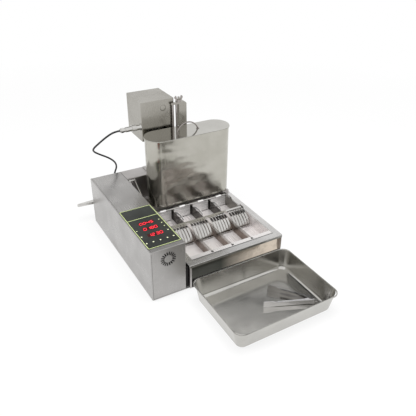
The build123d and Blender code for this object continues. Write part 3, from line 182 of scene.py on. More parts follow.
# a blend of two colours, of which the first may be another node's output
def blendColours(tree, factor, first, second):
    node = tree.nodes.new("ShaderNodeMix")
    node.data_type = "RGBA"
    if isinstance(first, tuple):
        node.inputs[6].default_value = (*first, 1)
    else:
        tree.links.new(first, node.inputs[6])
    node.inputs[7].default_value = (*second, 1)
    tree.links.new(factor, node.inputs[0])
    return node.outputs[2]


# a blend of two shaders on the surface: the second shows as far as the factor says
def blendShaders(tree, factor, first, second):
    mix = tree.nodes.new("ShaderNodeMixShader")
    tree.links.new(factor, mix.inputs[0])
    tree.links.new(first.outputs[0], mix.inputs[1])
    tree.links.new(second.outputs[0], mix.inputs[2])
    tree.links.new(mix.outputs[0], tree.nodes["Material Output"].inputs["Surface"])


# a bumpy surface from a height, over another such surface where one is given
def bumpFrom(tree, height, depth, strength=1.0, under=None):
    bump = tree.nodes.new("ShaderNodeBump")
    bump.inputs["Strength"].default_value = strength
    bump.inputs["Distance"].default_value = depth
    tree.links.new(height, bump.inputs["Height"])
    if under:
        tree.links.new(under, bump.inputs["Normal"])
    return bump.outputs["Normal"]


# one step of arithmetic on two values, where each is a number or another node's output
def mathNode(tree, operation, a, b):
    node = tree.nodes.new("ShaderNodeMath")
    node.operation = operation
    for socket, value in zip(node.inputs, (a, b)):
        if isinstance(value, (int, float)):
            socket.default_value = value
        else:
            tree.links.new(value, socket)
    return node.outputs[0]


# fine streaks that run along one axis, and on faces that look along that axis, along Z or, for Z, along X
grainSetup = {"stretch": 0.02, "detail": 2.0, "facing": 0.75}


def grainByFace(tree, along, fine):
    thin, detail = grainSetup["stretch"], grainSetup["detail"]
    streak = {"x": (thin, 1, 1), "y": (1, thin, 1), "z": (1, 1, thin)}
    main = objectNoise(tree, streak[along], fine, detail)
    other = objectNoise(tree, streak["z" if along != "z" else "x"], fine, detail)
    geometry = tree.nodes.new("ShaderNodeNewGeometry")
    split = tree.nodes.new("ShaderNodeSeparateXYZ")
    tree.links.new(geometry.outputs["Normal"], split.inputs[0])
    facing = mathNode(tree, "ABSOLUTE", split.outputs["xyz".index(along)], 0.0)
    facing = mathNode(tree, "GREATER_THAN", facing, grainSetup["facing"])
    mix = tree.nodes.new("ShaderNodeMix")
    tree.links.new(facing, mix.inputs[0])
    tree.links.new(main, mix.inputs[2])
    tree.links.new(other, mix.inputs[3])
    return mix.outputs[0]


# the share of a way along an axis, 0 at one place and 1 at the other, in metres
def alongAxis(tree, axis, start, end):
    coordinates = tree.nodes.new("ShaderNodeTexCoord")
    split = tree.nodes.new("ShaderNodeSeparateXYZ")
    tree.links.new(coordinates.outputs["Object"], split.inputs[0])
    return spread(tree, split.outputs["xyz".index(axis)], 0.0, 1.0, start, end)


# height of round dents: each falls smoothly from its own height at the centre to 0 at its radius
def dentHeight(tree, dents):
    coordinates = tree.nodes.new("ShaderNodeTexCoord")
    total = 0.0
    for centre, radius, depth in dents:
        distance = tree.nodes.new("ShaderNodeVectorMath")
        distance.operation = "DISTANCE"
        distance.inputs[1].default_value = centre
        tree.links.new(coordinates.outputs["Object"], distance.inputs[0])
        fall = tree.nodes.new("ShaderNodeMapRange")
        fall.interpolation_type = "SMOOTHSTEP"
        fall.inputs["From Max"].default_value = radius
        fall.inputs["To Min"].default_value = depth
        fall.inputs["To Max"].default_value = 0.0
        tree.links.new(distance.outputs["Value"], fall.inputs["Value"])
        total = mathNode(tree, "ADD", fall.outputs["Result"], total)
    return total


# stainless sheet: streaks in the roughness and the surface, cloudy smudges in the tint, shallow waves and
# dents, and colours by place (axis, start, end, colour) that grow along an axis and are ragged at their edge;
# most of them are painted reflection and shade, as said where each is given
sheetSetup = {"smudges": 9, "smudgeRough": (-0.04, 0.05), "ragged": 45, "raggedShare": (0.8, 1.1), "waves": 7,
              "grainDepth": 0.00004}


def steel(name, tint, shade, rough, along="x", fine=900, grain=0.25, waves=0.0, roughSpread=0.12,
          dents=(), coloursByPlace=(), metallic=1.0, waveStretch=even):
    material, tree, shader = startMaterial(name)
    streaks = grainByFace(tree, along, fine)
    clouds = objectNoise(tree, even, sheetSetup["smudges"], 4.0, 0.6)
    shader.inputs["Metallic"].default_value = metallic
    colour = blendColours(tree, spread(tree, clouds, 0.0, 1.0), tint, shade)
    for axis, start, end, placeColour in coloursByPlace:
        share = alongAxis(tree, axis, start, end)
        ragged = spread(tree, objectNoise(tree, even, sheetSetup["ragged"]), *sheetSetup["raggedShare"])
        colour = blendColours(tree, mathNode(tree, "MULTIPLY", share, ragged), colour, placeColour)
    tree.links.new(colour, shader.inputs["Base Color"])
    half = roughSpread / 2
    roughness = mathNode(tree, "ADD", spread(tree, streaks, rough - half, rough + half),
                         spread(tree, clouds, *sheetSetup["smudgeRough"]))
    tree.links.new(roughness, shader.inputs["Roughness"])
    under = None
    if dents:
        under = bumpFrom(tree, dentHeight(tree, dents), 1.0)
    if waves:
        slow = objectNoise(tree, waveStretch, sheetSetup["waves"], 1.5, 0.4)
        under = bumpFrom(tree, slow, waves, 1.0, under)
    normal = bumpFrom(tree, streaks, sheetSetup["grainDepth"], grain, under)
    tree.links.new(normal, shader.inputs["Normal"])
    return material


# moulded plastic, rubber or print: fine stipple, and dust that lightens the tint in patches
mouldSetup = {"dust": 14, "stipple": 600, "stippleRough": (-0.06, 0.08), "stippleStrength": 0.5,
              "coatRough": 0.08}


def plastic(name, tint, shade, rough, bumpDepth=0.00005, coat=0.0, gloss=0.5, glow=None):
    material, tree, shader = startMaterial(name)
    shader.inputs["Specular IOR Level"].default_value = gloss
    if glow:
        shader.inputs["Emission Color"].default_value = (*glow[0], 1)
        shader.inputs["Emission Strength"].default_value = glow[1]
    stipple = objectNoise(tree, even, mouldSetup["stipple"], 2.0)
    dust = objectNoise(tree, even, mouldSetup["dust"], 4.0, 0.6)
    colour = blendColours(tree, spread(tree, dust, 0.0, 1.0), tint, shade)
    tree.links.new(colour, shader.inputs["Base Color"])
    smoother, rougher = mouldSetup["stippleRough"]
    tree.links.new(spread(tree, stipple, rough + smoother, rough + rougher), shader.inputs["Roughness"])
    if coat:
        shader.inputs["Coat Weight"].default_value = coat
        shader.inputs["Coat Roughness"].default_value = mouldSetup["coatRough"]
    normal = bumpFrom(tree, stipple, bumpDepth, mouldSetup["stippleStrength"])
    tree.links.new(normal, shader.inputs["Normal"])
    return material


# finishes: tint, the shade that smudges it, and roughness; colours by place, and some tints, are painted
# reflection and shade, as said at each
caseSteel = steel("caseSteel", (0.45, 0.44, 0.43), (0.38, 0.37, 0.36), 0.3, along="y", grain=0.14,
                  roughSpread=0.08, waves=0.0004)
housingSteel = steel("housingSteel", (0.52, 0.5, 0.49), (0.46, 0.44, 0.43), 0.34, along="x")
# a browner steel, darker than the case's as painted dark reflection
motorSteelPaintedDark = steel("motorSteelPaintedDark", (0.4, 0.385, 0.35), (0.34, 0.325, 0.29), 0.25, along="z", grain=0.12,
                   roughSpread=0.08, waves=0.0004)
hopperSteel = steel("hopperSteel", (0.5, 0.485, 0.44), (0.41, 0.4, 0.35), 0.19, along="z", waves=0.006,
                    waveStretch=(1.0, 1.0, 2.4),
                    dents=[((0.175, 0.2045, 0.305), 0.030, 0.0011), ((0.23, 0.2045, 0.318), 0.012, 0.0012),
                           ((0.11, 0.2045, 0.255), 0.050, 0.0012), ((0.21, 0.2045, 0.24), 0.040, 0.0008)])
lidSteel = steel("lidSteel", (0.53, 0.52, 0.49), (0.47, 0.46, 0.43), 0.08, along="x", grain=0.05,
                 roughSpread=0.04)
brightSteel = steel("brightSteel", (0.66, 0.65, 0.63), (0.56, 0.55, 0.53), 0.16, along="x", grain=0.12)
# the tines darken to near black towards their tips: painted dark reflection and shadow
combSteel = steel("combSteel", (0.64, 0.63, 0.61), (0.5, 0.49, 0.47), 0.1, along="x", grain=0.1,
                  coloursByPlace=[("z", 0.0735, 0.066, (0.05, 0.035, 0.025))])
# near white and only part metal: painted light on the pusher blades, which stand in shade
plateSteelPaintedBright = steel("plateSteelPaintedBright", (0.9, 0.89, 0.88), (0.8, 0.79, 0.78), 0.26, along="x", fine=700, grain=0.1,
                   metallic=0.4)
traySteel = steel("traySteel", (0.57, 0.56, 0.53), (0.49, 0.48, 0.455), 0.17, along="x", fine=700, grain=0.05,
                  roughSpread=0.04, waves=0.0008)
# near white and only part metal: painted bright reflection; the flange's top is greyer
tankSteelPaintedBright = steel("tankSteelPaintedBright", (0.86, 0.835, 0.825), (0.72, 0.67, 0.66), 0.24, along="y", fine=700, grain=0.1,
                  roughSpread=0.06, metallic=0.42, coloursByPlace=[("z", 0.0975, 0.0986, (0.62, 0.6, 0.59))])
# dark below the deck's top, on its lips: painted dark reflection
deckSteel = steel("deckSteel", (0.66, 0.65, 0.64), (0.58, 0.57, 0.56), 0.2, along="x", grain=0.08,
                  roughSpread=0.05, coloursByPlace=[("z", 0.1003, 0.0995, (0.2, 0.195, 0.18))])
# near black: painted shade and dark reflection; the brown towards +x is painted reflection
panPaintedShadeAndReflection = steel("panPaintedShadeAndReflection", (0.07, 0.07, 0.062), (0.045, 0.047, 0.04), 0.12, along="x", grain=0.06,
                 coloursByPlace=[("x", 0.03, 0.2, (0.62, 0.54, 0.45))])
# brown towards the bottom: painted reflection; near black behind the comb: painted dark reflection of the
# hopper
dividerSteel = steel("dividerSteel", (0.62, 0.6, 0.58), (0.5, 0.48, 0.46), 0.24, along="y", fine=700,
                     coloursByPlace=[("z", 0.093, 0.085, (0.2, 0.155, 0.13)), ("y", 0.07, 0.11, (0.07, 0.065, 0.06))])
rodSteel = steel("rodSteel", (0.4, 0.37, 0.35), (0.3, 0.275, 0.26), 0.14, along="x", grain=0.08)
darkSteel = steel("darkSteel", (0.3, 0.29, 0.27), (0.2, 0.19, 0.17), 0.32, along="y", fine=700)
# two copies of the tongs' steel: painted dark reflection on the right arm, pin and ring, painted highlight on
# the left
tongSteelPaintedDark = steel("tongSteelPaintedDark", (0.46, 0.45, 0.44), (0.3, 0.29, 0.28), 0.12, along="y", fine=500, grain=0.12,
                  waves=0.0008)
tongSteelPaintedBright = steel("tongSteelPaintedBright", (0.9, 0.89, 0.89), (0.78, 0.77, 0.77), 0.14, along="y", fine=500, grain=0.1,
                   waves=0.0008, metallic=0.75)
brass = steel("brass", (0.55, 0.5, 0.4), (0.4, 0.36, 0.28), 0.3, along="y", fine=700)
heaterSteel = steel("heaterSteel", (0.16, 0.13, 0.11), (0.09, 0.075, 0.065), 0.5, along="y", fine=700)
panelBlack = plastic("panelBlack", (0.016, 0.018, 0.016), (0.027, 0.03, 0.027), 0.42, coat=0.05, gloss=0.25)
keyGrey = plastic("keyGrey", (0.02, 0.022, 0.024), (0.034, 0.036, 0.04), 0.5, gloss=0.25)
blackPlastic = plastic("blackPlastic", (0.004, 0.004, 0.004), (0.009, 0.009, 0.009), 0.7, gloss=0.08)
blackRubber = plastic("blackRubber", (0.014, 0.014, 0.014), (0.022, 0.022, 0.022), 0.62, bumpDepth=0.0001)
cableRubber = plastic("cableRubber", (0.01, 0.01, 0.011), (0.018, 0.018, 0.019), 0.42, bumpDepth=0.00006)
insulation = plastic("insulation", (0.008, 0.008, 0.008), (0.014, 0.013, 0.012), 0.9, bumpDepth=0.0004)
motorPaint = plastic("motorPaint", (0.06, 0.065, 0.07), (0.09, 0.095, 0.1), 0.4)
boardGreen = plastic("boardGreen", (0.01, 0.07, 0.03), (0.02, 0.1, 0.045), 0.35, coat=0.2)
displayRed = plastic("displayRed", (0.03, 0.002, 0.003), (0.045, 0.004, 0.005), 0.4, gloss=0.2)
digitRed = plastic("digitRed", (0.5, 0.01, 0.02), (0.6, 0.015, 0.03), 0.5, glow=((1.0, 0.035, 0.06), 0.85))
lampLens = plastic("lampLens", (0.6, 0.66, 0.36), (0.68, 0.72, 0.42), 0.3, glow=((0.75, 0.85, 0.4), 0.35))
printYellow = plastic("printYellow", (0.66, 0.75, 0.36), (0.58, 0.68, 0.3), 0.5, gloss=0.25)
markPale = plastic("markPale", (0.78, 0.8, 0.55), (0.66, 0.7, 0.42), 0.5, gloss=0.25)
# painted shade for the seams and the screw recesses
seamAndRecessShade = plastic("seamAndRecessShade", (0.05, 0.05, 0.048), (0.09, 0.088, 0.085), 0.7, gloss=0.2)

finishes = {
    caseSteel: ["control_box_shell", "base_plate"],
    housingSteel: ["rear_housing", "motor_column", "slide_guide", "hopper_brackets", "side_panel_left",
                   "side_panel_right"],
    motorSteelPaintedDark: ["motor_box", "motor_box_cover", "slide_head"],
    hopperSteel: ["hopper"],
    lidSteel: ["hopper_lid"],
    deckSteel: ["deck_frame"],
    tankSteelPaintedBright: ["oil_tank"],
    panPaintedShadeAndReflection: ["floor_pan"],
    combSteel: ["comb_tines"],
    plateSteelPaintedBright: ["pusher_blades"],
    rodSteel: ["push_rods", "lid_handle", "wing_nut"],
    brightSteel: ["cutter_yoke", "nozzles", "comb_shaft", "pusher_rod", "pusher_link", "pusher_crank",
                  "cable_connector", "drain_lever", "case_screws"],
    tongSteelPaintedDark: ["tongs_arm_right", "tongs_pin", "tongs_lock_ring"],
    tongSteelPaintedBright: ["tongs_arm_left"],
    traySteel: ["tray"],
    dividerSteel: ["lane_dividers"],
    darkSteel: ["bearing_plates"],
    brass: ["cable_gland", "drain_valve"],
    heaterSteel: ["heating_element"],
    panelBlack: ["control_panel"],
    keyGrey: ["key_%d" % number for number in range(1, 8)],
    blackPlastic: ["fan_frame", "fan_rotor", "power_inlet"],
    blackRubber: ["rubber_feet"],
    insulation: ["gap_insulation"],
    motorPaint: ["gear_motor", "drive_motors"],
    boardGreen: ["control_board"],
    displayRed: ["led_displays"],
    lampLens: ["indicator_lamps"],
}
for material, names in finishes.items():
    for name in names:
        nodes[name].data.materials.clear()
        nodes[name].data.materials.append(material)
cable.data.materials.append(cableRubber)
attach(cable, "machine")
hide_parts("motor_cable")
print("finishes given")


# new pieces: points is a grid (rows, columns, 3); quads join neighbours, closed ways wrap round
def gridFaces(rows, columns, closedRows, closedColumns):
    index = np.arange(rows * columns).reshape(rows, columns)
    index = np.vstack([index, index[:1]]) if closedRows else index
    index = np.hstack([index, index[:, :1]]) if closedColumns else index
    return np.stack([index[:-1, :-1], index[1:, :-1], index[1:, 1:], index[:-1, 1:]], axis=-1).reshape(-1, 4)


# several surfaces in one mesh: each is (points, faces), with faces numbered from its own first point
def addPiece(name, surfaces, material, body, smooth=False):
    points, faces, count = [], [], 0
    for surfacePoints, surfaceFaces in surfaces:
        points.append(surfacePoints.reshape(-1, 3))
        faces += [[corner + count for corner in face] for face in surfaceFaces]
        count += len(points[-1])
    mesh = bpy.data.meshes.new(name)
    mesh.from_pydata(np.concatenate(points).tolist(), [], faces)
    mesh.materials.append(material)
    mesh.polygons.foreach_set("use_smooth", np.full(len(mesh.polygons), smooth))
    mesh.update()
    piece = addObject(name, mesh)
    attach(piece, body)
    return piece


# a thin plate whose outline is a loop of points (n, 3), raised by a step (3): two caps and a wall
def plateSurface(loop, step):
    count = len(loop)
    points = np.concatenate([loop, loop + np.array(step)])
    walls = gridFaces(2, count, False, True)[:, ::-1].tolist()
    return points, walls + [list(range(count))[::-1], list(range(count, 2 * count))]


# points round a rectangle whose corners are quarter circles, counter-clockwise
def roundedLoop(centre, halfX, halfY, corner, z, steps=6):
    turns = np.linspace(0, math.pi / 2, steps)
    angle = (turns[None, :] + np.arange(4)[:, None] * math.pi / 2).ravel()
    sideX = np.repeat([1, -1, -1, 1], steps)
    sideY = np.repeat([1, 1, -1, -1], steps)
    x = centre[0] + sideX * (halfX - corner) + corner * np.cos(angle)
    y = centre[1] + sideY * (halfY - corner) + corner * np.sin(angle)
    return np.stack([x, y, np.full_like(x, z)], axis=1)


# a frame round a rectangle: the loops outside low, outside high, inside high, inside low, closed both ways
def frameSurface(centre, halfX, halfY, corner, width, low, high, leastCorner=0.0003):
    outer = roundedLoop(centre, halfX, halfY, corner, low)
    inner = roundedLoop(centre, halfX - width, halfY - width, max(corner - width, leastCorner), low)
    lift = np.array([0, 0, high - low])
    points = np.stack([outer, outer + lift, inner + lift, inner], axis=1)
    return points, gridFaces(len(outer), 4, True, True).tolist()


# panel print: a pale line round the panel and one across it in front of the bare band
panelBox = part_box("control_panel")
printSetup = {"line": 0.0019, "inset": 0.001, "corner": 0.003, "band": 0.0715, "bandCorner": 0.0004,
              "bandLap": 0.2, "thick": 0.00012}


def addPanelPrint(setup):
    low, high = panelBox[1][2], panelBox[1][2] + setup["thick"]
    centre = [(panelBox[0][i] + panelBox[1][i]) / 2 for i in range(2)]
    half = [(panelBox[1][i] - panelBox[0][i]) / 2 - setup["inset"] for i in range(2)]
    border = frameSurface(centre, half[0], half[1], setup["corner"], setup["line"], low, high)
    # the line across laps over a share of the border's width
    halfAcross = half[0] - setup["line"] * (1 - setup["bandLap"])
    across = roundedLoop((centre[0], panelBox[1][1] - setup["band"]), halfAcross, setup["line"] / 2,
                         setup["bandCorner"], low)
    addPiece("panelPrint", [border, plateSurface(across, (0, 0, setup["thick"]))], printYellow, "machine")


addPanelPrint(printSetup)

# digits: bars of a seven-bar eight, each with its points on its line and its corners half a bar to either side,
# and x leans by a share of the height; each row lists its figures' places along x
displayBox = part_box("led_displays")
digitSetup = {
    "rows": [
        {"y": -0.0595, "height": 0.0135, "figures": [(-0.0205, 1), (-0.0075, 2), (0.0085, 3), (0.0215, 0)]},
        {"y": -0.0195, "height": 0.0135, "figures": [(-0.0195, 0), (-0.0065, 1), (0.0065, 8), (0.0195, 0)]},
        {"y": 0.0155, "height": 0.0115, "figures": [(-0.0195, 0), (-0.0065, 0), (0.0065, 4), (0.0195, 5)]},
    ],
    "width": 0.0094,
    "bar": 0.0027,
    "gap": 0.0004,
    "lean": 0.14,
    "thick": 0.0001,
}
figureBars = {0: "abcdef", 1: "bc", 2: "abged", 3: "abgcd", 4: "fgbc", 5: "afgcd", 8: "abcdefg"}


def digitSurfaces(setup, centreX, centreY, height, figure, z):
    w, h, t = setup["width"] / 2, height / 2, setup["bar"] / 2
    ends = {"a": ((-w, h), (w, h)), "b": ((w, 0), (w, h)), "c": ((w, -h), (w, 0)), "d": ((-w, -h), (w, -h)),
            "e": ((-w, -h), (-w, 0)), "f": ((-w, 0), (-w, h)), "g": ((-w, 0), (w, 0))}
    surfaces = []
    for bar in figureBars[figure]:
        start, end = (np.array(corner) for corner in ends[bar])
        along = (end - start) / np.linalg.norm(end - start)
        side = np.array([-along[1], along[0]]) * t
        start, end = start + along * setup["gap"], end - along * setup["gap"]
        flat = np.array([start, start + along * t - side, end - along * t - side, end,
                         end - along * t + side, start + along * t + side])
        x = centreX + flat[:, 0] + setup["lean"] * flat[:, 1]
        loop = np.stack([x, centreY + flat[:, 1], np.full(len(flat), z)], axis=1)
        surfaces.append(plateSurface(loop, (0, 0, setup["thick"])))
    return surfaces


def addDigits(setup):
    middle = (displayBox[0][0] + displayBox[1][0]) / 2
    top = displayBox[1][2]
    surfaces = []
    for row in setup["rows"]:
        for place, figure in row["figures"]:
            surfaces += digitSurfaces(setup, middle + place, row["y"], row["height"], figure, top)
    addPiece("displayDigits", surfaces, digitRed, "machine")


addDigits(digitSetup)

# right, up and outward directions of a face, so that a flat shape (across, up, out) can be laid on it
facings = {
    "up": ((1, 0, 0), (0, 1, 0), (0, 0, 1)),
    "front": ((1, 0, 0), (0, 0, 1), (0, -1, 0)),
    "back": ((-1, 0, 0), (0, 0, 1), (0, 1, 0)),
    "left": ((0, -1, 0), (0, 0, 1), (-1, 0, 0)),
    "right": ((0, 1, 0), (0, 0, 1), (1, 0, 0)),
}


def laidOn(flat, centre, facing):
    return np.array(centre) + flat @ np.array(facings[facing], dtype=float)


# a dome: rings go out from near the centre, and the height is the rise times one minus a power of the share
# of the way out
def domeSurface(centre, facing, radius, rise, power=2, rings=6, steps=28, nearest=0.08):
    out = np.linspace(nearest, 1, rings)[:, None]
    turn = np.linspace(0, 2 * math.pi, steps, endpoint=False)[None, :]
    flat = np.stack([radius * out * np.cos(turn), radius * out * np.sin(turn),
                     rise * (1 - out ** power) + 0 * turn], axis=2)
    faces = gridFaces(rings, steps, False, True).tolist()
    rim = (rings - 1) * steps
    return laidOn(flat, centre, facing), faces + [list(range(steps)), list(range(rim, rim + steps))[::-1]]


# key marks: a low dome on each key
markSetup = {"radius": 0.0029, "rise": 0.00035}
for number in range(1, 8):
    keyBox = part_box("key_%d" % number)
    top = ((keyBox[0][0] + keyBox[1][0]) / 2, (keyBox[0][1] + keyBox[1][1]) / 2, keyBox[1][2])
    mark = domeSurface(top, "up", markSetup["radius"], markSetup["rise"])
    addPiece("keyMark%d" % number, [mark], markPale, "key_%d" % number, smooth=True)
print("panel printed")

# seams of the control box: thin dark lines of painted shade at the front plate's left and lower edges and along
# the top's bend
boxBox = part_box("control_box_shell")
seamSetup = {"width": 0.0009, "proud": 0.0001, "side": 0.0035, "foot": 0.004, "topInset": 0.0045,
             "bend": 0.006, "backStop": 0.002}


def addSeams(setup):
    left, front, bottom = boxBox[0]
    right, back, top = boxBox[1]
    w, out = setup["width"], setup["proud"]

    def strip(corner, along, across, step):
        corner, along, across = (np.array(item) for item in (corner, along, across))
        loop = np.array([corner, corner + along, corner + along + across, corner + across])
        return plateSurface(loop, step)

    low, bend = bottom + setup["foot"], setup["bend"]
    start = left + setup["side"]
    wide, tall = right - left - 2 * setup["side"], top - bend - low
    long = back - front - bend - setup["backStop"]
    surfaces = [
        strip((start, front, low), (w, 0, 0), (0, 0, tall), (0, -out, 0)),
        strip((start, front, low), (wide, 0, 0), (0, 0, w), (0, -out, 0)),
        strip((left + setup["topInset"], front + bend, top), (w, 0, 0), (0, long, 0), (0, 0, out)),
    ]
    addPiece("caseSeams", surfaces, seamAndRecessShade, "machine")


addSeams(seamSetup)

# plug in the motor box's front, a flat-topped dome, and two rivets by the left face's rear edge
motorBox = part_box("motor_box")
capSetup = {"plugRadius": 0.012, "plugRise": 0.0012, "plugInset": (0.046, 0.033), "plugPower": 6,
            "plugRings": 9, "plugSteps": 40, "rivetRadius": 0.0026, "rivetRise": 0.0011, "rivetInset": 0.007,
            "rivetHeights": (0.04, 0.115)}


def addCaps(setup):
    low, high = motorBox
    place = (high[0] - setup["plugInset"][0], low[1], high[2] - setup["plugInset"][1])
    plug = domeSurface(place, "front", setup["plugRadius"], setup["plugRise"], setup["plugPower"],
                       setup["plugRings"], setup["plugSteps"])
    addPiece("motorBoxPlug", [plug], motorSteelPaintedDark, "machine", smooth=True)
    rivets = [domeSurface((low[0], high[1] - setup["rivetInset"], low[2] + height), "left",
                          setup["rivetRadius"], setup["rivetRise"]) for height in setup["rivetHeights"]]
    addPiece("motorBoxRivets", rivets, rodSteel, "machine", smooth=True)


addCaps(capSetup)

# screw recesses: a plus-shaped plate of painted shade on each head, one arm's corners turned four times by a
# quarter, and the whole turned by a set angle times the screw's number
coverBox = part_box("motor_box_cover")
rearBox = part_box("rear_housing")
screwSetup = {"headHeight": 0.0018, "armLong": 0.0021, "armWide": 0.00045, "thick": 0.00008, "turn": 0.4,
              "motorInset": 0.008, "boxInset": 0.012, "rearInset": 0.014, "topInset": 0.015, "foot": 0.02,
              "ledgeInset": 0.02, "sideInset": 0.04}


def screwPlaces(setup):
    inset, under = setup["motorInset"], boxBox[1][2] - setup["topInset"]
    cover, rear = coverBox[1][1], rearBox[1][1]
    places = [(x, cover, z, "back") for x in (coverBox[0][0] + inset, coverBox[1][0] - inset)
              for z in (coverBox[0][2] + inset, coverBox[1][2] - inset)]
    places += [(x, rear, z, "back")
               for x in (boxBox[0][0] + setup["boxInset"], rearBox[1][0] - setup["rearInset"])
               for z in (setup["foot"], under)]
    places += [(x, rear, under, "back")
               for x in (boxBox[1][0] - setup["boxInset"], rearBox[0][0] + setup["ledgeInset"])]
    places += [(rearBox[1][0], rearBox[0][1] + setup["ledgeInset"], z, "right")
               for z in (setup["sideInset"], boxBox[1][2] - setup["sideInset"])]
    places += [(motorBox[0][0] + inset, motorBox[0][1], motorBox[0][2] + inset, "front")]
    return places


def addScrewCrosses(setup):
    long, wide = setup["armLong"], setup["armWide"]
    quarter = np.array([(long, -wide), (long, wide), (wide, wide)])
    surfaces = []
    for number, (x, y, z, facing) in enumerate(screwPlaces(setup)):
        turns = setup["turn"] * number + np.arange(4) * math.pi / 2
        across = np.concatenate([quarter[:, 0] * math.cos(t) - quarter[:, 1] * math.sin(t) for t in turns])
        up = np.concatenate([quarter[:, 0] * math.sin(t) + quarter[:, 1] * math.cos(t) for t in turns])
        flat = np.stack([across, up, np.full(len(up), setup["headHeight"])], axis=1)
        step = np.array([0, 0, setup["thick"]]) @ np.array(facings[facing], dtype=float)
        surfaces.append(plateSurface(laidOn(flat, (x, y, z), facing), step))
    addPiece("screwCrosses", surfaces, seamAndRecessShade, "machine")


addScrewCrosses(screwSetup)

# painted shade in the open joint behind the front rail: a dark, slightly crowned strip along x, its height
# falling with the square of the way from the middle line
grooveShadeSetup = {"left": -0.0765, "right": 0.262, "front": -0.1323, "back": -0.1277, "low": 0.095, "edge": 0.0998,
             "crown": 0.0007, "columns": 13, "rows": 40}


def addGrooveShade(setup):
    share = np.linspace(-1, 1, setup["columns"])
    middle, half = (setup["front"] + setup["back"]) / 2, (setup["back"] - setup["front"]) / 2
    y = np.concatenate([middle + half * share, [setup["back"], setup["front"]]])
    z = np.concatenate([setup["edge"] + setup["crown"] * (1 - share ** 2), [setup["low"], setup["low"]]])
    x = np.linspace(setup["left"], setup["right"], setup["rows"])[:, None]
    points = np.stack([x + 0 * y, 0 * x + y, 0 * x + z], axis=2)
    count = len(y)
    last = (setup["rows"] - 1) * count
    faces = gridFaces(setup["rows"], count, False, True).tolist()
    caps = [list(range(count)), list(range(last, last + count))[::-1]]
    addPiece("railGrooveShade", [(points, faces + caps)], blackRubber, "machine")


addGrooveShade(grooveShadeSetup)
print("small pieces added")

# floor, card and lamps: the floor's footprint is the machine's, where no white may shine up through its vents
floorSetup = {"half": 60.0, "low": -0.0002, "colour": (0.82, 0.82, 0.82), "seenWhite": 0.82,
              "rough": 0.9, "gloss": 0.1, "fadeFrom": 0.9, "fadeTo": 3.0,
              "footprint": [("x", -0.232, 0.28), ("y", -0.148, 0.415)], "edge": 0.001}
cardSetup = {
    "azimuth": 31.54,
    "turn": 120.0,
    "columns": 25,
    "rows": 5,
    "distance": 3.6,
    "low": 2.7,
    "high": 7.5,
    "shade": 0.03,
    "rough": 0.9,
    # heights, and how closed the card is there
    "cover": [(2.9, 0.0), (3.1, 1.0), (3.5, 1.0), (3.75, 0.0), (4.2, 0.0), (4.6, 1.0)],
}


# 1 for what the camera sees, straight or in metal or glass, and 0 for what only lights the object
def seenOrReflected(tree):
    path = tree.nodes.new("ShaderNodeLightPath")
    seen = mathNode(tree, "MAXIMUM", path.outputs["Is Camera Ray"], path.outputs["Is Glossy Ray"])
    return mathNode(tree, "MAXIMUM", seen, path.outputs["Is Transmission Ray"])


def addFloor(setup):
    mesh = bpy.data.meshes.new("floor")
    h, z = setup["half"], setup["low"]
    mesh.from_pydata([(-h, -h, z), (h, -h, z), (h, h, z), (-h, h, z)], [], [(0, 1, 2, 3)])
    floor = addObject("floor", mesh)
    material, tree, shader = startMaterial("floorPale")
    shader.inputs["Base Color"].default_value = (*setup["colour"], 1)
    shader.inputs["Roughness"].default_value = setup["rough"]
    shader.inputs["Specular IOR Level"].default_value = setup["gloss"]
    glow = tree.nodes.new("ShaderNodeEmission")
    glow.inputs["Strength"].default_value = 1.0
    # the floor keeps the shadow near the object, is plain white far off, and is dark under the machine
    coordinates = tree.nodes.new("ShaderNodeTexCoord")
    away = tree.nodes.new("ShaderNodeVectorMath")
    away.operation = "LENGTH"
    tree.links.new(coordinates.outputs["Object"], away.inputs[0])
    white = spread(tree, away.outputs["Value"], setup["seenWhite"], 1.0, setup["fadeFrom"], setup["fadeTo"])
    hidden = 1.0
    for axis, low, high in setup["footprint"]:
        inside = mathNode(tree, "MULTIPLY", alongAxis(tree, axis, low, low + setup["edge"]),
                          alongAxis(tree, axis, high, high - setup["edge"]))
        hidden = mathNode(tree, "MULTIPLY", inside, hidden)
    white = mathNode(tree, "MULTIPLY", white, mathNode(tree, "SUBTRACT", 1.0, hidden))
    blendShaders(tree, mathNode(tree, "MULTIPLY", seenOrReflected(tree), white), shader, glow)
    mesh.materials.append(material)


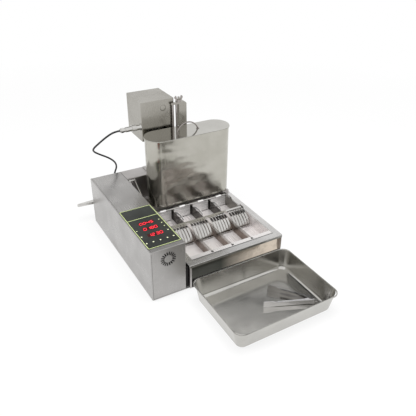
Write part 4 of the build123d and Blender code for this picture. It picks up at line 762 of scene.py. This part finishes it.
# a dark studio card, part of an upright drum far behind the object, open to the camera's own rays
def addCard(setup):
    half = setup["turn"] / 2
    turns = np.radians(90 - setup["azimuth"] + np.linspace(-half, half, setup["columns"]))
    levels = np.linspace(setup["low"], setup["high"], setup["rows"])
    turn, level = np.meshgrid(turns, levels, indexing="ij")
    points = np.stack([setup["distance"] * np.cos(turn), setup["distance"] * np.sin(turn), level], axis=2)
    mesh = bpy.data.meshes.new("card")
    faces = gridFaces(setup["columns"], setup["rows"], False, False)
    mesh.from_pydata(points.reshape(-1, 3).tolist(), [], faces.tolist())
    card = addObject("card", mesh)
    material, tree, shader = startMaterial("cardDark")
    shader.inputs["Base Color"].default_value = (setup["shade"],) * 3 + (1,)
    shader.inputs["Roughness"].default_value = setup["rough"]
    clear = tree.nodes.new("ShaderNodeBsdfTransparent")
    path = tree.nodes.new("ShaderNodeLightPath")
    cover = tree.nodes.new("ShaderNodeValToRGB")
    tree.links.new(alongAxis(tree, "z", setup["low"], setup["high"]), cover.inputs[0])
    stops = cover.color_ramp.elements
    for number, (height, closed) in enumerate(setup["cover"]):
        place = (height - setup["low"]) / (setup["high"] - setup["low"])
        stop = stops[number] if number < 2 else stops.new(place)
        stop.position = place
        stop.color = (closed, closed, closed, 1)
    hidden = mathNode(tree, "SUBTRACT", 1.0, path.outputs["Is Camera Ray"])
    blendShaders(tree, mathNode(tree, "MULTIPLY", cover.outputs[0], hidden), clear, shader)
    mesh.materials.append(material)


# lamps: place and aim in metres, size of the lit rectangle, and power in watts
lightSetup = {
    "world": 0.6,
    "lamps": [
        {"name": "leftLamp", "place": (-2.6, 0.6, 2.2), "aim": (0, 0, 0.15),
         "size": (2.4, 1.8), "power": 50},
        {"name": "topLamp", "place": (0.2, -0.2, 2.8), "aim": (0.05, 0, 0.1),
         "size": (1.8, 1.8), "power": 62},
        {"name": "rightLamp", "place": (2.6, -0.6, 1.6), "aim": (0, 0, 0.15),
         "size": (1.6, 1.6), "power": 16},
    ],
}


def addLights(setup):
    world = bpy.data.worlds.new("studio")
    bpy.context.scene.world = world
    world.use_nodes = True
    tree = world.node_tree
    background = tree.nodes["Background"]
    strength = tree.nodes.new("ShaderNodeMapRange")
    strength.inputs["To Min"].default_value = setup["world"]
    strength.inputs["To Max"].default_value = 1.0
    tree.links.new(seenOrReflected(tree), strength.inputs["Value"])
    tree.links.new(strength.outputs["Result"], background.inputs["Strength"])
    background.inputs["Color"].default_value = (1, 1, 1, 1)
    for lamp in setup["lamps"]:
        data = bpy.data.lights.new(lamp["name"], "AREA")
        data.shape = "RECTANGLE"
        data.size, data.size_y = lamp["size"]
        data.energy = lamp["power"]
        item = addObject(lamp["name"], data)
        item.location = lamp["place"]
        away = np.array(lamp["place"]) - np.array(lamp["aim"])
        yaw = math.atan2(away[1], away[0])
        lean = math.acos(away[2] / np.linalg.norm(away))
        item.rotation_euler = (0, lean, yaw)
        item.visible_glossy = False


addFloor(floorSetup)
addCard(cardSetup)
addLights(lightSetup)
bpy.context.scene.view_settings.view_transform = "Standard"
print("lit")
